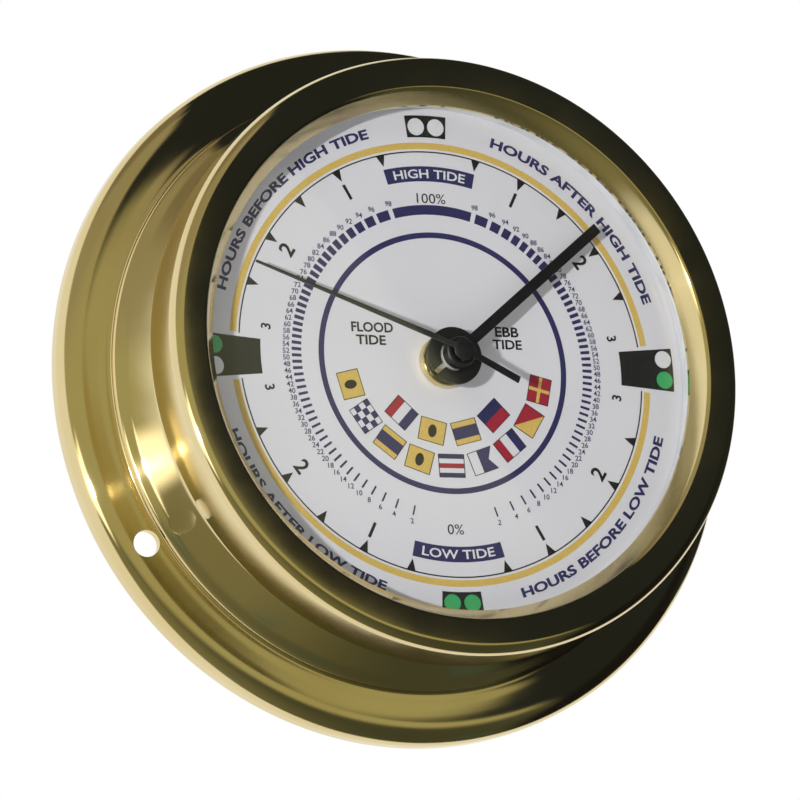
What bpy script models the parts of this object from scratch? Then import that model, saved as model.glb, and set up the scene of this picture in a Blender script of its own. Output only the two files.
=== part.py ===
"""Bulkhead tide clock: a spun brass case, a printed dial with two hands, and a quartz tide movement.

Frame: metres, +Z up.  The bulkhead is the plane y = 0, the dial faces -Y and the hands turn about Y.
A depth is a distance in front of the bulkhead, so that a point at depth d lies at y = -d.
A turned profile is a list of (radius, depth) points, and an outline is a list of (x, z) points.
"""
import math

import bmesh
import bpy
from mathutils import Matrix, Vector

MM = 0.001

# Clearances
SEAT_GAP = 0.2 * MM  # between faces that rest on each other
RUN_GAP = 0.25 * MM  # round a shaft that turns in its hole, and round a piece in its recess
SKIRT_GAP = 0.3 * MM  # between the bezel's skirt and the neck that it is pushed over
LAYER_GAP = 0.4 * MM  # between wheels that turn one above the other
CUT = 1.0 * MM  # how far a cutter reaches past the faces that it cuts
HAND_GAP = 1.3 * MM  # between the top of the hands and the glass

# Spun brass case, from the neck out to the rolled edge
NECK_RADIUS = 48.2 * MM
SHEET = 1.2 * MM
CONE_WIDTH = 6.1 * MM
STEP_HEIGHT = 1.8 * MM
STEP_ROUND = 0.8 * MM
NECK_ROUND = 0.8 * MM
CHANNEL_WIDTH = 5.2 * MM  # from the step to the rolled edge
CHANNEL_DEPTH = 6.2 * MM  # front of the flange, where the screws go
CHANNEL_DISH = 0.2 * MM
CHANNEL_ROUND = 0.9 * MM
BEAD_RADIUS = 2.4 * MM  # of the rolled edge, seen in section
BEAD_LIFT = 0.05 * MM  # of the rolled edge over the bulkhead
BEAD_SIDE = 2.2 * MM  # of its straight outer side
BEAD_TURN = 62  # degrees past level at which the roll meets the channel and its foot
FOOT_WIDTH = 1.5 * MM  # of the flat that rests on the bulkhead
SCREW_COUNT = 3
SCREW_HOLE_DIAMETER = 4.6 * MM
FIRST_SCREW_ANGLE = 0.0  # degrees clockwise from 12 o'clock
SPOT_DIAMETER = 4.8 * MM  # shallow round spots on the cone, in line with the screws
SPOT_DEPTH = 0.5 * MM
SPOT_RUN = 2.55 * MM  # from the neck to the middle of a spot, along the radius

# Dial, glass and bezel
DIAL_DEPTH = 24.5 * MM  # printed face of the dial
DIAL_THICKNESS = 0.8 * MM
DIAL_EDGE_GAP = 0.2 * MM
SPACER_THICKNESS = 2.5 * MM
SPACER_WIDTH = 2.6 * MM
GLASS_THICKNESS = 1.4 * MM
GASKET_THICKNESS = 0.4 * MM
BEZEL_WALL = 4.1 * MM
BEZEL_SKIRT = 7.9 * MM  # how far the skirt reaches behind the lip
BEZEL_EDGE = 0.4 * MM
BEZEL_TAPER = 0.2 * MM
BEZEL_SHOULDER = 1.9 * MM  # radius of the rounded shoulder
BEZEL_CROWN = 3.8 * MM  # height of the flat face over the underside of the lip
BEZEL_SLOPE = 2.6 * MM  # radial width of the inner slope
LIP_WIDTH = 3.7 * MM  # from the neck's outside in to the edge of the lip
LIP_EDGE = 0.7 * MM
GASKET_INSET = 0.6 * MM  # from the edge of the lip out to the gasket

# Hands
TIDE_TIP_GAP = 5.7 * MM  # from the tip of the tide hand out to the lip of the bezel
TIDE_HAND_WIDTH = 1.9 * MM
TIDE_HAND_THICKNESS = 0.5 * MM
TIDE_HAND_HEIGHT = 4.8 * MM  # top of its boss over the dial
TIDE_HAND_DROOP = 0.058  # fall of the arm for each unit of length
TIDE_BOSS_RADIUS = 5.05 * MM
TIDE_SLIT = 0.9 * MM
TIDE_COLLAR_WALL = 0.7 * MM
TIDE_COLLAR_LENGTH = 1.0 * MM
ARM_ROOT = 0.7 * MM  # how far an arm reaches into its boss
TIDE_HAND_ANGLE = 50.9  # degrees clockwise from 12 o'clock
SECONDS_TIP_GAP = 6.3 * MM
SECONDS_HAND_TAIL = 11.5 * MM
SECONDS_HAND_WIDTH = 1.1 * MM
SECONDS_TIP_WIDTH = 0.45 * MM
SECONDS_HAND_THICKNESS = 0.3 * MM
SECONDS_HAND_HEIGHT = 9.0 * MM  # top of its hub over the dial
SECONDS_HAND_DROOP = 0.14
SECONDS_HUB_RADIUS = 1.9 * MM
SECONDS_HUB_EDGE = 0.1 * MM
SECONDS_PIPE_WALL = 0.4 * MM
SECONDS_HAND_ANGLE = 294.1

# Shafts in the centre, from the inside out
SECONDS_ARBOR_RADIUS = 0.5 * MM
MINUTE_TUBE_WALL = 0.65 * MM
TIDE_TUBE_WALL = 0.85 * MM
BUSH_WALL = 0.75 * MM
BUSH_FLANGE = 1.1 * MM
NUT_RADIUS = 4.6 * MM
NUT_THICKNESS = 1.6 * MM
CAP_RADIUS = 2.7 * MM
CAP_THICKNESS = 2.0 * MM
CAP_LIFT = 0.6 * MM  # of the cap over the tide tube
CAP_EDGE = 0.3 * MM
THREAD_END = 0.3 * MM  # of the bush over its nut, and of the tide tube over its hand
MINUTE_TUBE_END = 0.2 * MM
NUT_EDGE = 0.4 * MM
WASHER_THICKNESS = 1.0 * MM
WASHER_RADIUS = 8.5 * MM

# Movement casing, made to hold the cell
CASING_WALL = 1.2 * MM
CASING_CORNER = 2.5 * MM
CELL_RADIUS = 7.05 * MM
CELL_LENGTH = 49.2 * MM
CELL_NUB_RADIUS = 2.7 * MM
CELL_NUB_LENGTH = 1.3 * MM
SPRING_LENGTH = 1.9 * MM  # of the negative contact
CONTACT_SHEET = 0.4 * MM
CONTACT_RADIUS = 4.5 * MM
POST_RADIUS = 2.0 * MM  # of the posts that carry the train plate
POST_GAP = 1.2 * MM  # from a post to the nearest wheel
ARBOR_BOSS_RADIUS = 1.4 * MM
ARBOR_BOSS_HEIGHT = 0.9 * MM
PLATE_THICKNESS = 1.0 * MM  # of the train plate
PLATE_MARGIN = 0.6 * MM  # of the train plate round its posts
SCREW_SHANK = 0.8 * MM
SCREW_LENGTH = 5.0 * MM
SCREW_HEAD_RADIUS = 1.6 * MM
SCREW_HEAD = 0.8 * MM
CELL_EDGE = 0.5 * MM

# Wheels
WHEEL_THICKNESS = 0.9 * MM
GOING_MODULE = 0.30 * MM  # of the wheels between the rotor and the minute wheel
ROTOR_MODULE = 0.28 * MM
MOTION_MODULE = 0.36 * MM  # of the wheels between the minute tube and the tide tube
ROTOR_PINION = 6
STEP_WHEEL = 36
STEP_PINION = 8
SECONDS_WHEEL = 40
SECONDS_PINION = 8
THIRD_WHEEL = 64
THIRD_PINION = 8
MINUTE_WHEEL = 60
MINUTE_PINION = 12
MOTION_WHEEL = 36
MOTION_PINION = 10
TIDE_WHEEL = 40
SETTING_PINION = 12
THIRD_DIRECTION = 100.0  # degrees from +X towards +Z, from the centre to the third wheel
MOTION_DIRECTION = 165.0
STEP_DIRECTION = 20.0
ROTOR_DIRECTION = -10.0  # from the step wheel to the rotor
SETTING_DIRECTION = 200.0  # from the motion wheel to the setting arbor
ARBOR_RADIUS = 0.45 * MM
ARBOR_END = 0.2 * MM  # of an arbor past its last wheel or short of the plate's front
PINION_WALL = 0.4 * MM
ROOT_JOINT = 0.3 * MM  # how far a pinion or tube reaches into the wheel that it stands on
SETTING_ARBOR_RADIUS = 0.8 * MM
KNOB_RADIUS = 4.2 * MM
KNOB_LENGTH = 2.6 * MM
KNOB_FLUTES = 18

# Motor and circuit
ROTOR_MAGNET_RADIUS = 3.0 * MM
ROTOR_MAGNET_LENGTH = 1.6 * MM
STATOR_THICKNESS = 0.8 * MM
STATOR_STAND = 2.2 * MM  # height of the stator over the floor of the housing
STATOR_AIR_GAP = 0.4 * MM
STATOR_RIM = 1.5 * MM
STATOR_EAR = 3.6 * MM  # length of the ears that hold the core
STATOR_FOOT_RADIUS = 1.2 * MM
STATOR_SIDE_GAP = 0.6 * MM  # from the ears to the housing
COIL_RADIUS = 2.9 * MM
COIL_LENGTH = 17.0 * MM
COIL_FLANGE = 0.8 * MM
COIL_TUBE = 0.4 * MM  # wall of the bobbin under the winding
COIL_TOP_GAP = 2.0 * MM  # from the bobbin to the housing
CORE_WIDTH = 2.0 * MM
BOARD_THICKNESS = 1.2 * MM
BOARD_BELOW = 4.0 * MM  # how far the board reaches below the centre
BOARD_CORNER_GAP = 1.2 * MM
CHIP_RADIUS = 2.6 * MM
CHIP_HEIGHT = 1.0 * MM
CHIP_RISE = 6.0 * MM  # height of the chip's middle over the centre
CRYSTAL_RADIUS = 1.0 * MM
CRYSTAL_LENGTH = 6.0 * MM
CRYSTAL_GAP = 2.0 * MM

# Facets
CASE_SEGMENTS = 60
GLASS_SEGMENTS = 36
SMALL_SEGMENTS = 20

# Radii of the case that follow from the sizes above
STEP_RADIUS = NECK_RADIUS + CONE_WIDTH
BEAD_EDGE = STEP_RADIUS + CHANNEL_WIDTH
BEAD_CENTRE = BEAD_EDGE + BEAD_RADIUS * math.cos(math.radians(BEAD_TURN))
SCREW_CIRCLE = STEP_RADIUS + 0.575 * CHANNEL_WIDTH
LIP_RADIUS = NECK_RADIUS - LIP_WIDTH
TIDE_HAND_LENGTH = LIP_RADIUS - TIDE_TIP_GAP
SECONDS_HAND_LENGTH = LIP_RADIUS - SECONDS_TIP_GAP

# Depths that follow from the sizes above, from the dial forwards
SPACER_BACK = DIAL_DEPTH + SEAT_GAP
GLASS_BACK = SPACER_BACK + SPACER_THICKNESS + SEAT_GAP
GASKET_BACK = GLASS_BACK + GLASS_THICKNESS + SEAT_GAP
LIP_UNDERSIDE = GASKET_BACK + GASKET_THICKNESS + SEAT_GAP
BEZEL_TOP = LIP_UNDERSIDE + BEZEL_CROWN
HANDS_TOP = DIAL_DEPTH + SECONDS_HAND_HEIGHT

# From the dial backwards
DIAL_BACK = DIAL_DEPTH - DIAL_THICKNESS
NECK_END = DIAL_BACK - SEAT_GAP
COVER_FRONT = DIAL_BACK - WASHER_THICKNESS - 2 * SEAT_GAP
COVER_BACK = COVER_FRONT - CASING_WALL
BUSH_FOOT_FRONT = COVER_BACK + CASING_WALL / 2
TIDE_WHEEL_FRONT = COVER_BACK - LAYER_GAP
TIDE_WHEEL_BACK = TIDE_WHEEL_FRONT - WHEEL_THICKNESS
MOTION_WHEEL_FRONT = TIDE_WHEEL_BACK - LAYER_GAP
MOTION_WHEEL_BACK = MOTION_WHEEL_FRONT - WHEEL_THICKNESS
MINUTE_WHEEL_FRONT = MOTION_WHEEL_BACK - LAYER_GAP
MINUTE_WHEEL_BACK = MINUTE_WHEEL_FRONT - WHEEL_THICKNESS
PLATE_FRONT = MINUTE_WHEEL_BACK - LAYER_GAP
PLATE_BACK = PLATE_FRONT - PLATE_THICKNESS
THIRD_WHEEL_FRONT = PLATE_BACK - LAYER_GAP
THIRD_WHEEL_BACK = THIRD_WHEEL_FRONT - WHEEL_THICKNESS
SECONDS_WHEEL_FRONT = THIRD_WHEEL_BACK - LAYER_GAP
SECONDS_WHEEL_BACK = SECONDS_WHEEL_FRONT - WHEEL_THICKNESS
STEP_WHEEL_FRONT = SECONDS_WHEEL_BACK - LAYER_GAP
STEP_WHEEL_BACK = STEP_WHEEL_FRONT - WHEEL_THICKNESS
CORE_FRONT = STEP_WHEEL_BACK - LAYER_GAP
CORE_BACK = CORE_FRONT - STATOR_THICKNESS
STATOR_FRONT = CORE_BACK - SEAT_GAP
STATOR_BACK = STATOR_FRONT - STATOR_THICKNESS
MAGNET_MIDDLE = (STATOR_FRONT + STATOR_BACK) / 2
FLOOR = STATOR_BACK - STATOR_STAND
CASING_BACK = FLOOR - CASING_WALL
ARBOR_BACK = FLOOR + SEAT_GAP
CASING_INSIDE = CELL_LENGTH + CELL_NUB_LENGTH + SPRING_LENGTH + CONTACT_SHEET + 4 * SEAT_GAP
CASING_SIZE = CASING_INSIDE + 2 * CASING_WALL

# Radii of the shafts in the centre
MINUTE_BORE = SECONDS_ARBOR_RADIUS + RUN_GAP
MINUTE_TUBE_RADIUS = MINUTE_BORE + MINUTE_TUBE_WALL
TIDE_BORE = MINUTE_TUBE_RADIUS + RUN_GAP
TIDE_TUBE_RADIUS = TIDE_BORE + TIDE_TUBE_WALL
BUSH_BORE = TIDE_TUBE_RADIUS + RUN_GAP
BUSH_RADIUS = BUSH_BORE + BUSH_WALL
BUSH_FOOT_RADIUS = BUSH_RADIUS + BUSH_FLANGE
BUSH_HOLE = BUSH_RADIUS + RUN_GAP

# Heights over the dial
NUT_BACK = DIAL_DEPTH + SEAT_GAP
BUSH_FRONT = NUT_BACK + NUT_THICKNESS + THREAD_END
TIDE_HAND_FRONT = DIAL_DEPTH + TIDE_HAND_HEIGHT
TIDE_HAND_BACK = TIDE_HAND_FRONT - TIDE_HAND_THICKNESS
TIDE_TUBE_FRONT = TIDE_HAND_FRONT + THREAD_END
CAP_BACK = TIDE_TUBE_FRONT + CAP_LIFT
CAP_FRONT = CAP_BACK + CAP_THICKNESS
MINUTE_TUBE_FRONT = CAP_FRONT + MINUTE_TUBE_END
SECONDS_TOP = HANDS_TOP - SECONDS_HUB_EDGE
SECONDS_REST = HANDS_TOP - SECONDS_HAND_THICKNESS - SECONDS_HUB_EDGE / 2

TOOTH_ADDENDUM = 0.8  # in modules
TOOTH_DEDENDUM = 1.0
TOOTH_TIP = 0.22  # width in pitches
TOOTH_ROOT = 0.6


def material(name, colour, roughness, metallic=0.0, alpha=1.0):
    """Make a Principled material from a linear colour."""
    made = bpy.data.materials.new(name)
    made.use_nodes = True
    shader = made.node_tree.nodes["Principled BSDF"]
    shader.inputs["Base Color"].default_value = (*colour, 1.0)
    shader.inputs["Roughness"].default_value = roughness
    shader.inputs["Metallic"].default_value = metallic
    shader.inputs["Alpha"].default_value = alpha
    return made


BRASS = (0.62, 0.47, 0.19)
STEEL = (0.55, 0.55, 0.56)
BLACK = (0.012, 0.012, 0.013)
WHITE = (0.78, 0.79, 0.81)


def direction(degrees):
    """Unit vector (x, z) of an angle counted from +X towards +Z."""
    return math.cos(math.radians(degrees)), math.sin(math.radians(degrees))


def clock_direction(degrees):
    """Unit vector (x, z) of an angle counted clockwise from 12 o'clock."""
    return direction(90.0 - degrees)


def arc(centre, radius, start, end, steps):
    """Points of an arc, with angles in degrees; radius may be a pair for an ellipse."""
    wide, high = radius if isinstance(radius, tuple) else (radius, radius)
    points = []
    for index in range(steps + 1):
        angle = math.radians(start + (end - start) * index / steps)
        points.append((centre[0] + wide * math.cos(angle), centre[1] + high * math.sin(angle)))
    return points


def circle(radius, segments=SMALL_SEGMENTS, centre=(0.0, 0.0)):
    return arc(centre, radius, 0.0, 360.0, segments)[:-1]


def rectangle(left, right, bottom, top):
    return [(left, bottom), (right, bottom), (right, top), (left, top)]


def rounded_square(size, corner):
    """Square outline about the origin with round corners."""
    middle = size / 2 - corner
    points = []
    for index, (sign_x, sign_z) in enumerate(((1, 1), (-1, 1), (-1, -1), (1, -1))):
        points += arc((sign_x * middle, sign_z * middle), corner, 90 * index, 90 * index + 90, 5)
    return points


def gear(teeth, module, phase=0.0):
    """Outline of a spur gear with four points to a tooth, one tooth at the angle phase in radians."""
    pitch_radius = teeth * module / 2
    root = pitch_radius - TOOTH_DEDENDUM * module
    tip = pitch_radius + TOOTH_ADDENDUM * module
    corners = ((root, -TOOTH_ROOT), (tip, -TOOTH_TIP), (tip, TOOTH_TIP), (root, TOOTH_ROOT))
    pitch = 2 * math.pi / teeth
    points = []
    for index in range(teeth):
        for radius, width in corners:
            angle = phase + (index + width / 2) * pitch
            points.append((radius * math.cos(angle), radius * math.sin(angle)))
    return points


def meshing_phase(teeth, phase, degrees, other_teeth):
    """Phase of a gear that stands in the given direction and meshes with one of a known phase."""
    line = math.radians(degrees)
    lag = (line - phase) % (2 * math.pi / teeth)
    return line + math.pi + lag * teeth / other_teeth + math.pi / other_teeth


def turned(profile, segments):
    """Turn a closed profile about the Y axis; its points may lie on the axis."""
    body = bmesh.new()
    corners = [body.verts.new((radius, -depth, 0.0)) for radius, depth in profile]
    edges = []
    for first, second in zip(corners, corners[1:] + corners[:1]):
        on_axis = first.co.x == 0.0 and second.co.x == 0.0
        if not on_axis:
            edges.append(body.edges.new((first, second)))
    bmesh.ops.spin(body, geom=corners + edges, cent=(0, 0, 0), axis=(0, 1, 0), dvec=(0, 0, 0),
                   angle=2 * math.pi, steps=segments, use_merge=True, use_duplicate=False)
    bmesh.ops.remove_doubles(body, verts=body.verts, dist=0.001 * MM)
    bmesh.ops.recalc_face_normals(body, faces=body.faces)
    return body


def ring(inner, outer, back, front, segments=SMALL_SEGMENTS):
    """Flat ring about the Y axis."""
    return turned([(inner, back), (outer, back), (outer, front), (inner, front)], segments)


def extruded(outline, back, front):
    """Extrude an outline from one depth to another."""
    body = bmesh.new()
    corners = [body.verts.new((x, -back, z)) for x, z in outline]
    face = body.faces.new(corners)
    grown = bmesh.ops.extrude_face_region(body, geom=[face])
    moved = [item for item in grown["geom"] if isinstance(item, bmesh.types.BMVert)]
    bmesh.ops.translate(body, verts=moved, vec=(0, back - front, 0))
    bmesh.ops.recalc_face_normals(body, faces=body.faces)
    return body


def add(name, body, finish, parent=None, place=(0.0, 0.0), turn=0.0):
    """Turn a bmesh into an object at (x, z), turned clockwise by an angle in degrees."""
    mesh = bpy.data.meshes.new(name)
    body.to_mesh(mesh)
    body.free()
    mesh.shade_smooth()
    mesh.set_sharp_from_angle(angle=math.radians(35))
    mesh.materials.append(finish)
    made = bpy.data.objects.new(name, mesh)
    made.location = (place[0], 0.0, place[1])
    made.rotation_euler = (0.0, math.radians(turn), 0.0)
    made.parent = parent
    bpy.context.scene.collection.objects.link(made)
    return made


def combine(target, body, operation, place=(0.0, 0.0)):
    """Join a bmesh to an object, or cut it out, with a Boolean modifier; place is in the world."""
    helper = add(f"{target.name}_{operation.lower()}_{len(target.modifiers)}", body,
                 target.data.materials[0], place=place)
    helper.hide_render = True
    helper.display_type = "WIRE"
    modifier = target.modifiers.new(helper.name, "BOOLEAN")
    modifier.operation = operation
    modifier.object = helper
    modifier.solver = "EXACT"


def axis_empty(name, place=(0.0, 0.0)):
    """Empty on a joint's axis, which carries the pieces that turn together."""
    empty = bpy.data.objects.new(name, None)
    empty.location = (place[0], 0.0, place[1])
    empty.empty_display_size = 0.01
    bpy.context.scene.collection.objects.link(empty)
    return empty


def beyond(place, distance, degrees):
    """Point at a distance and direction from another."""
    x, z = direction(degrees)
    return place[0] + distance * x, place[1] + distance * z


def case_profile():
    """Section of the spun case, from the foot of the roll round the outside to the neck and back."""
    bead_depth = BEAD_RADIUS + BEAD_LIFT
    foot_outer = BEAD_CENTRE + 0.3 * BEAD_RADIUS
    floor = CHANNEL_DEPTH - CHANNEL_DISH
    step_top = CHANNEL_DEPTH + STEP_HEIGHT
    cone_top = step_top + CONE_WIDTH - STEP_ROUND
    outside = [(foot_outer, 0.0)]
    outside += arc((BEAD_CENTRE, bead_depth), BEAD_RADIUS, -BEAD_TURN, 0, 2)
    outside += arc((BEAD_CENTRE, bead_depth + BEAD_SIDE), BEAD_RADIUS, 0, 180 - BEAD_TURN, 4)
    outside += [(BEAD_EDGE - 0.7 * CHANNEL_ROUND, CHANNEL_DEPTH + 0.1 * CHANNEL_DISH),
                (BEAD_EDGE - 1.6 * CHANNEL_ROUND, floor),
                (STEP_RADIUS + CHANNEL_ROUND, floor),
                (STEP_RADIUS + 0.3 * CHANNEL_ROUND, CHANNEL_DEPTH),
                (STEP_RADIUS, CHANNEL_DEPTH + 0.5 * STEP_ROUND)]
    outside += arc((STEP_RADIUS - STEP_ROUND, step_top - STEP_ROUND), STEP_ROUND, 0, 60, 3)
    outside += [(NECK_RADIUS + NECK_ROUND, cone_top - NECK_ROUND),
                (NECK_RADIUS + 0.2 * NECK_ROUND, cone_top),
                (NECK_RADIUS, cone_top + NECK_ROUND),
                (NECK_RADIUS, NECK_END)]
    skin = SHEET * (math.sqrt(2) - 1)
    bore = NECK_RADIUS - SHEET
    wall = STEP_RADIUS - SHEET
    inside = [(bore, NECK_END),
              (bore, cone_top + NECK_ROUND - skin),
              (bore + NECK_ROUND, cone_top - NECK_ROUND - skin),
              (wall - 0.3 * STEP_ROUND, step_top - SHEET - 0.3 * STEP_ROUND),
              (wall, step_top - SHEET - STEP_ROUND),
              (wall, floor - SHEET),
              (foot_outer - FOOT_WIDTH, floor - SHEET),
              (foot_outer - FOOT_WIDTH, 0.0)]
    return outside + inside, cone_top


def build_case(finish):
    profile, cone_top = case_profile()
    case = add("case_shell", turned(profile, CASE_SEGMENTS), finish)
    cone_radius = NECK_RADIUS + SPOT_RUN
    cone_depth = cone_top - (cone_radius - NECK_RADIUS)
    outward = Vector((1, -1, 0)).normalized()
    tilt = Vector((0, -1, 0)).rotation_difference(outward).to_matrix().to_4x4()
    for index in range(SCREW_COUNT):
        degrees = FIRST_SCREW_ANGLE + 360 * index / SCREW_COUNT
        x, z = clock_direction(degrees)
        hole = extruded(circle(SCREW_HOLE_DIAMETER / 2), 0.0, CHANNEL_DEPTH + SHEET)
        combine(case, hole, "DIFFERENCE", (SCREW_CIRCLE * x, SCREW_CIRCLE * z))
        spot = extruded(circle(SPOT_DIAMETER / 2), -SPOT_DEPTH, 2 * SPOT_DEPTH)
        bmesh.ops.transform(spot, matrix=tilt, verts=spot.verts)
        bmesh.ops.translate(spot, vec=(cone_radius, -cone_depth, 0), verts=spot.verts)
        around = Matrix.Rotation(math.radians(degrees - 90), 4, "Y")
        bmesh.ops.transform(spot, matrix=around, verts=spot.verts)
        combine(case, spot, "DIFFERENCE")


def build_bezel(finish):
    bore = NECK_RADIUS + SKIRT_GAP
    outer = bore + BEZEL_WALL
    crown = outer - BEZEL_SHOULDER
    skirt = LIP_UNDERSIDE - BEZEL_SKIRT
    profile = [(bore, skirt), (outer - BEZEL_EDGE, skirt), (outer - BEZEL_TAPER, skirt + BEZEL_EDGE)]
    profile += arc((crown, BEZEL_TOP - BEZEL_SHOULDER), BEZEL_SHOULDER, 0, 90, 6)
    profile += [(LIP_RADIUS + 1.2 * BEZEL_SLOPE, BEZEL_TOP),
                (LIP_RADIUS + 0.95 * BEZEL_SLOPE, BEZEL_TOP - 0.06 * BEZEL_CROWN),
                (LIP_RADIUS, LIP_UNDERSIDE + LIP_EDGE),
                (LIP_RADIUS, LIP_UNDERSIDE),
                (bore, LIP_UNDERSIDE)]
    add("bezel_ring", turned(profile, CASE_SEGMENTS), finish)


def dome(chord, back, rise, steps):
    """Points of a shallow dome from its edge to the axis."""
    radius = (chord * chord + rise * rise) / (2 * rise)
    edge = math.degrees(math.asin(chord / radius))
    points = arc((0.0, back + rise - radius), radius, 90 - edge, 90, steps)
    points[-1] = (0.0, back + rise)
    return points


def build_glass_and_dial():
    glass = material("mineral glass", (0.9, 0.93, 0.93), 0.02, alpha=0.25)
    rubber = material("black rubber", BLACK, 0.6)
    plastic = material("white ABS", (0.75, 0.75, 0.72), 0.4)
    lacquer = material("white lacquered aluminium", WHITE, 0.35)
    seat = NECK_RADIUS - DIAL_EDGE_GAP
    rise = HANDS_TOP + HAND_GAP - GLASS_BACK
    chord = LIP_RADIUS - RUN_GAP
    inner = dome(chord, GLASS_BACK, rise, 4)
    outer = dome(chord, GLASS_BACK + GLASS_THICKNESS, rise, 4)
    profile = [(seat, GLASS_BACK), (seat, GLASS_BACK + GLASS_THICKNESS)]
    profile += outer + inner[::-1]
    add("glass_lens", turned(profile, GLASS_SEGMENTS), glass)
    add("glass_gasket", ring(LIP_RADIUS + GASKET_INSET, seat, GASKET_BACK, GASKET_BACK + GASKET_THICKNESS,
                             GLASS_SEGMENTS), rubber)
    add("dial_spacer", ring(seat - SPACER_WIDTH, seat, SPACER_BACK, SPACER_BACK + SPACER_THICKNESS,
                            GLASS_SEGMENTS), plastic)
    add("dial_plate", ring(BUSH_HOLE, seat, DIAL_BACK, DIAL_DEPTH, GLASS_SEGMENTS), lacquer)


def drooping_arm(start, end, start_width, end_width, thickness, top, fall):
    """Flat tapering arm along +Z whose top starts at a depth and falls by a slope."""
    body = bmesh.new()
    bmesh.ops.create_cube(body, size=1.0)
    for corner in body.verts:
        far = corner.co.z > 0
        reach = end if far else start
        width = end_width if far else start_width
        front = top - fall * (reach - start)
        layer = front if corner.co.y < 0 else front - thickness
        corner.co = Vector((math.copysign(width / 2, corner.co.x), -layer, reach))
    return body


def build_tide_hand(parent):
    black = material("black lacquered brass hand", BLACK, 0.35)
    bore = TIDE_TUBE_RADIUS + RUN_GAP
    collar = bore + TIDE_COLLAR_WALL
    collar_back = TIDE_HAND_BACK - TIDE_COLLAR_LENGTH
    profile = [(bore, collar_back), (collar, collar_back), (collar, TIDE_HAND_BACK),
               (TIDE_BOSS_RADIUS, TIDE_HAND_BACK), (TIDE_BOSS_RADIUS, TIDE_HAND_FRONT),
               (bore, TIDE_HAND_FRONT)]
    body = turned(profile, SMALL_SEGMENTS)
    hand = add("tide_hand", body, black, parent)
    arm_start = TIDE_BOSS_RADIUS - ARM_ROOT
    arm = drooping_arm(arm_start, TIDE_HAND_LENGTH, TIDE_HAND_WIDTH, TIDE_HAND_WIDTH,
                       TIDE_HAND_THICKNESS, TIDE_HAND_FRONT, TIDE_HAND_DROOP)
    around = Matrix.Rotation(math.radians(TIDE_HAND_ANGLE), 4, "Y")
    bmesh.ops.transform(arm, matrix=around, verts=arm.verts)
    combine(hand, arm, "UNION")
    slit = extruded(rectangle(-TIDE_SLIT / 2, TIDE_SLIT / 2, -TIDE_BOSS_RADIUS - CUT, -bore / 2),
                    collar_back - CUT, TIDE_HAND_FRONT + CUT)
    bmesh.ops.transform(slit, matrix=around, verts=slit.verts)
    combine(hand, slit, "DIFFERENCE")


def build_seconds_hand(parent):
    black = material("black lacquered steel hand", BLACK, 0.35)
    bore = SECONDS_ARBOR_RADIUS + RUN_GAP
    pipe = bore + SECONDS_PIPE_WALL
    hub_back = SECONDS_TOP - SECONDS_HAND_THICKNESS
    pipe_back = MINUTE_TUBE_FRONT + SEAT_GAP
    profile = [(bore, pipe_back), (pipe, pipe_back), (pipe, hub_back), (SECONDS_HUB_RADIUS, hub_back),
               (SECONDS_HUB_RADIUS, SECONDS_TOP), (0.7 * SECONDS_HUB_RADIUS, HANDS_TOP),
               (0.0, HANDS_TOP), (0.0, SECONDS_REST), (bore, SECONDS_REST)]
    hand = add("seconds_hand", turned(profile, SMALL_SEGMENTS), black, parent)
    start = SECONDS_HUB_RADIUS - ARM_ROOT
    around = Matrix.Rotation(math.radians(SECONDS_HAND_ANGLE), 4, "Y")
    behind = Matrix.Rotation(math.radians(SECONDS_HAND_ANGLE + 180), 4, "Y")
    arm = drooping_arm(start, SECONDS_HAND_LENGTH, SECONDS_HAND_WIDTH, SECONDS_TIP_WIDTH,
                       SECONDS_HAND_THICKNESS, SECONDS_TOP, SECONDS_HAND_DROOP)
    bmesh.ops.transform(arm, matrix=around, verts=arm.verts)
    combine(hand, arm, "UNION")
    tail = drooping_arm(start, SECONDS_HAND_TAIL, SECONDS_HAND_WIDTH, SECONDS_HAND_WIDTH,
                        SECONDS_HAND_THICKNESS, SECONDS_TOP, SECONDS_HAND_DROOP)
    bmesh.ops.transform(tail, matrix=behind, verts=tail.verts)
    combine(hand, tail, "UNION")


def build_centre_fittings(brass):
    rubber = material("rubber washer", BLACK, 0.7)
    profile = [(BUSH_BORE, COVER_BACK), (BUSH_FOOT_RADIUS, COVER_BACK), (BUSH_FOOT_RADIUS, BUSH_FOOT_FRONT),
               (BUSH_RADIUS, BUSH_FOOT_FRONT), (BUSH_RADIUS, BUSH_FRONT), (BUSH_BORE, BUSH_FRONT)]
    add("centre_bush", turned(profile, SMALL_SEGMENTS), brass)
    nut_front = NUT_BACK + NUT_THICKNESS
    profile = [(BUSH_HOLE, NUT_BACK), (NUT_RADIUS, NUT_BACK), (NUT_RADIUS, nut_front - NUT_EDGE),
               (NUT_RADIUS - NUT_EDGE, nut_front), (BUSH_HOLE, nut_front)]
    add("centre_nut", turned(profile, SMALL_SEGMENTS), brass)
    washer_back = COVER_FRONT + SEAT_GAP
    add("rubber_washer", ring(BUSH_HOLE, WASHER_RADIUS, washer_back, washer_back + WASHER_THICKNESS),
        rubber)


def tip_radius(teeth, module):
    return (teeth / 2 + TOOTH_ADDENDUM) * module


def stator_reach():
    """Radius of the stator round the rotor."""
    return ROTOR_MAGNET_RADIUS + STATOR_AIR_GAP + STATOR_RIM


def post_places(places):
    """Where the four posts under the train plate stand, clear of the wheels, as (x, z)."""
    beside = POST_RADIUS + POST_GAP
    third = tip_radius(THIRD_WHEEL, GOING_MODULE) + beside
    seconds = tip_radius(SECONDS_WHEEL, GOING_MODULE) + beside
    return [beyond(places["third"], third, 165), beyond(places["rotor"], stator_reach() + beside, -55),
            beyond(places["centre"], seconds, 220), beyond(places["third"], third, 10)]


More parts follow.
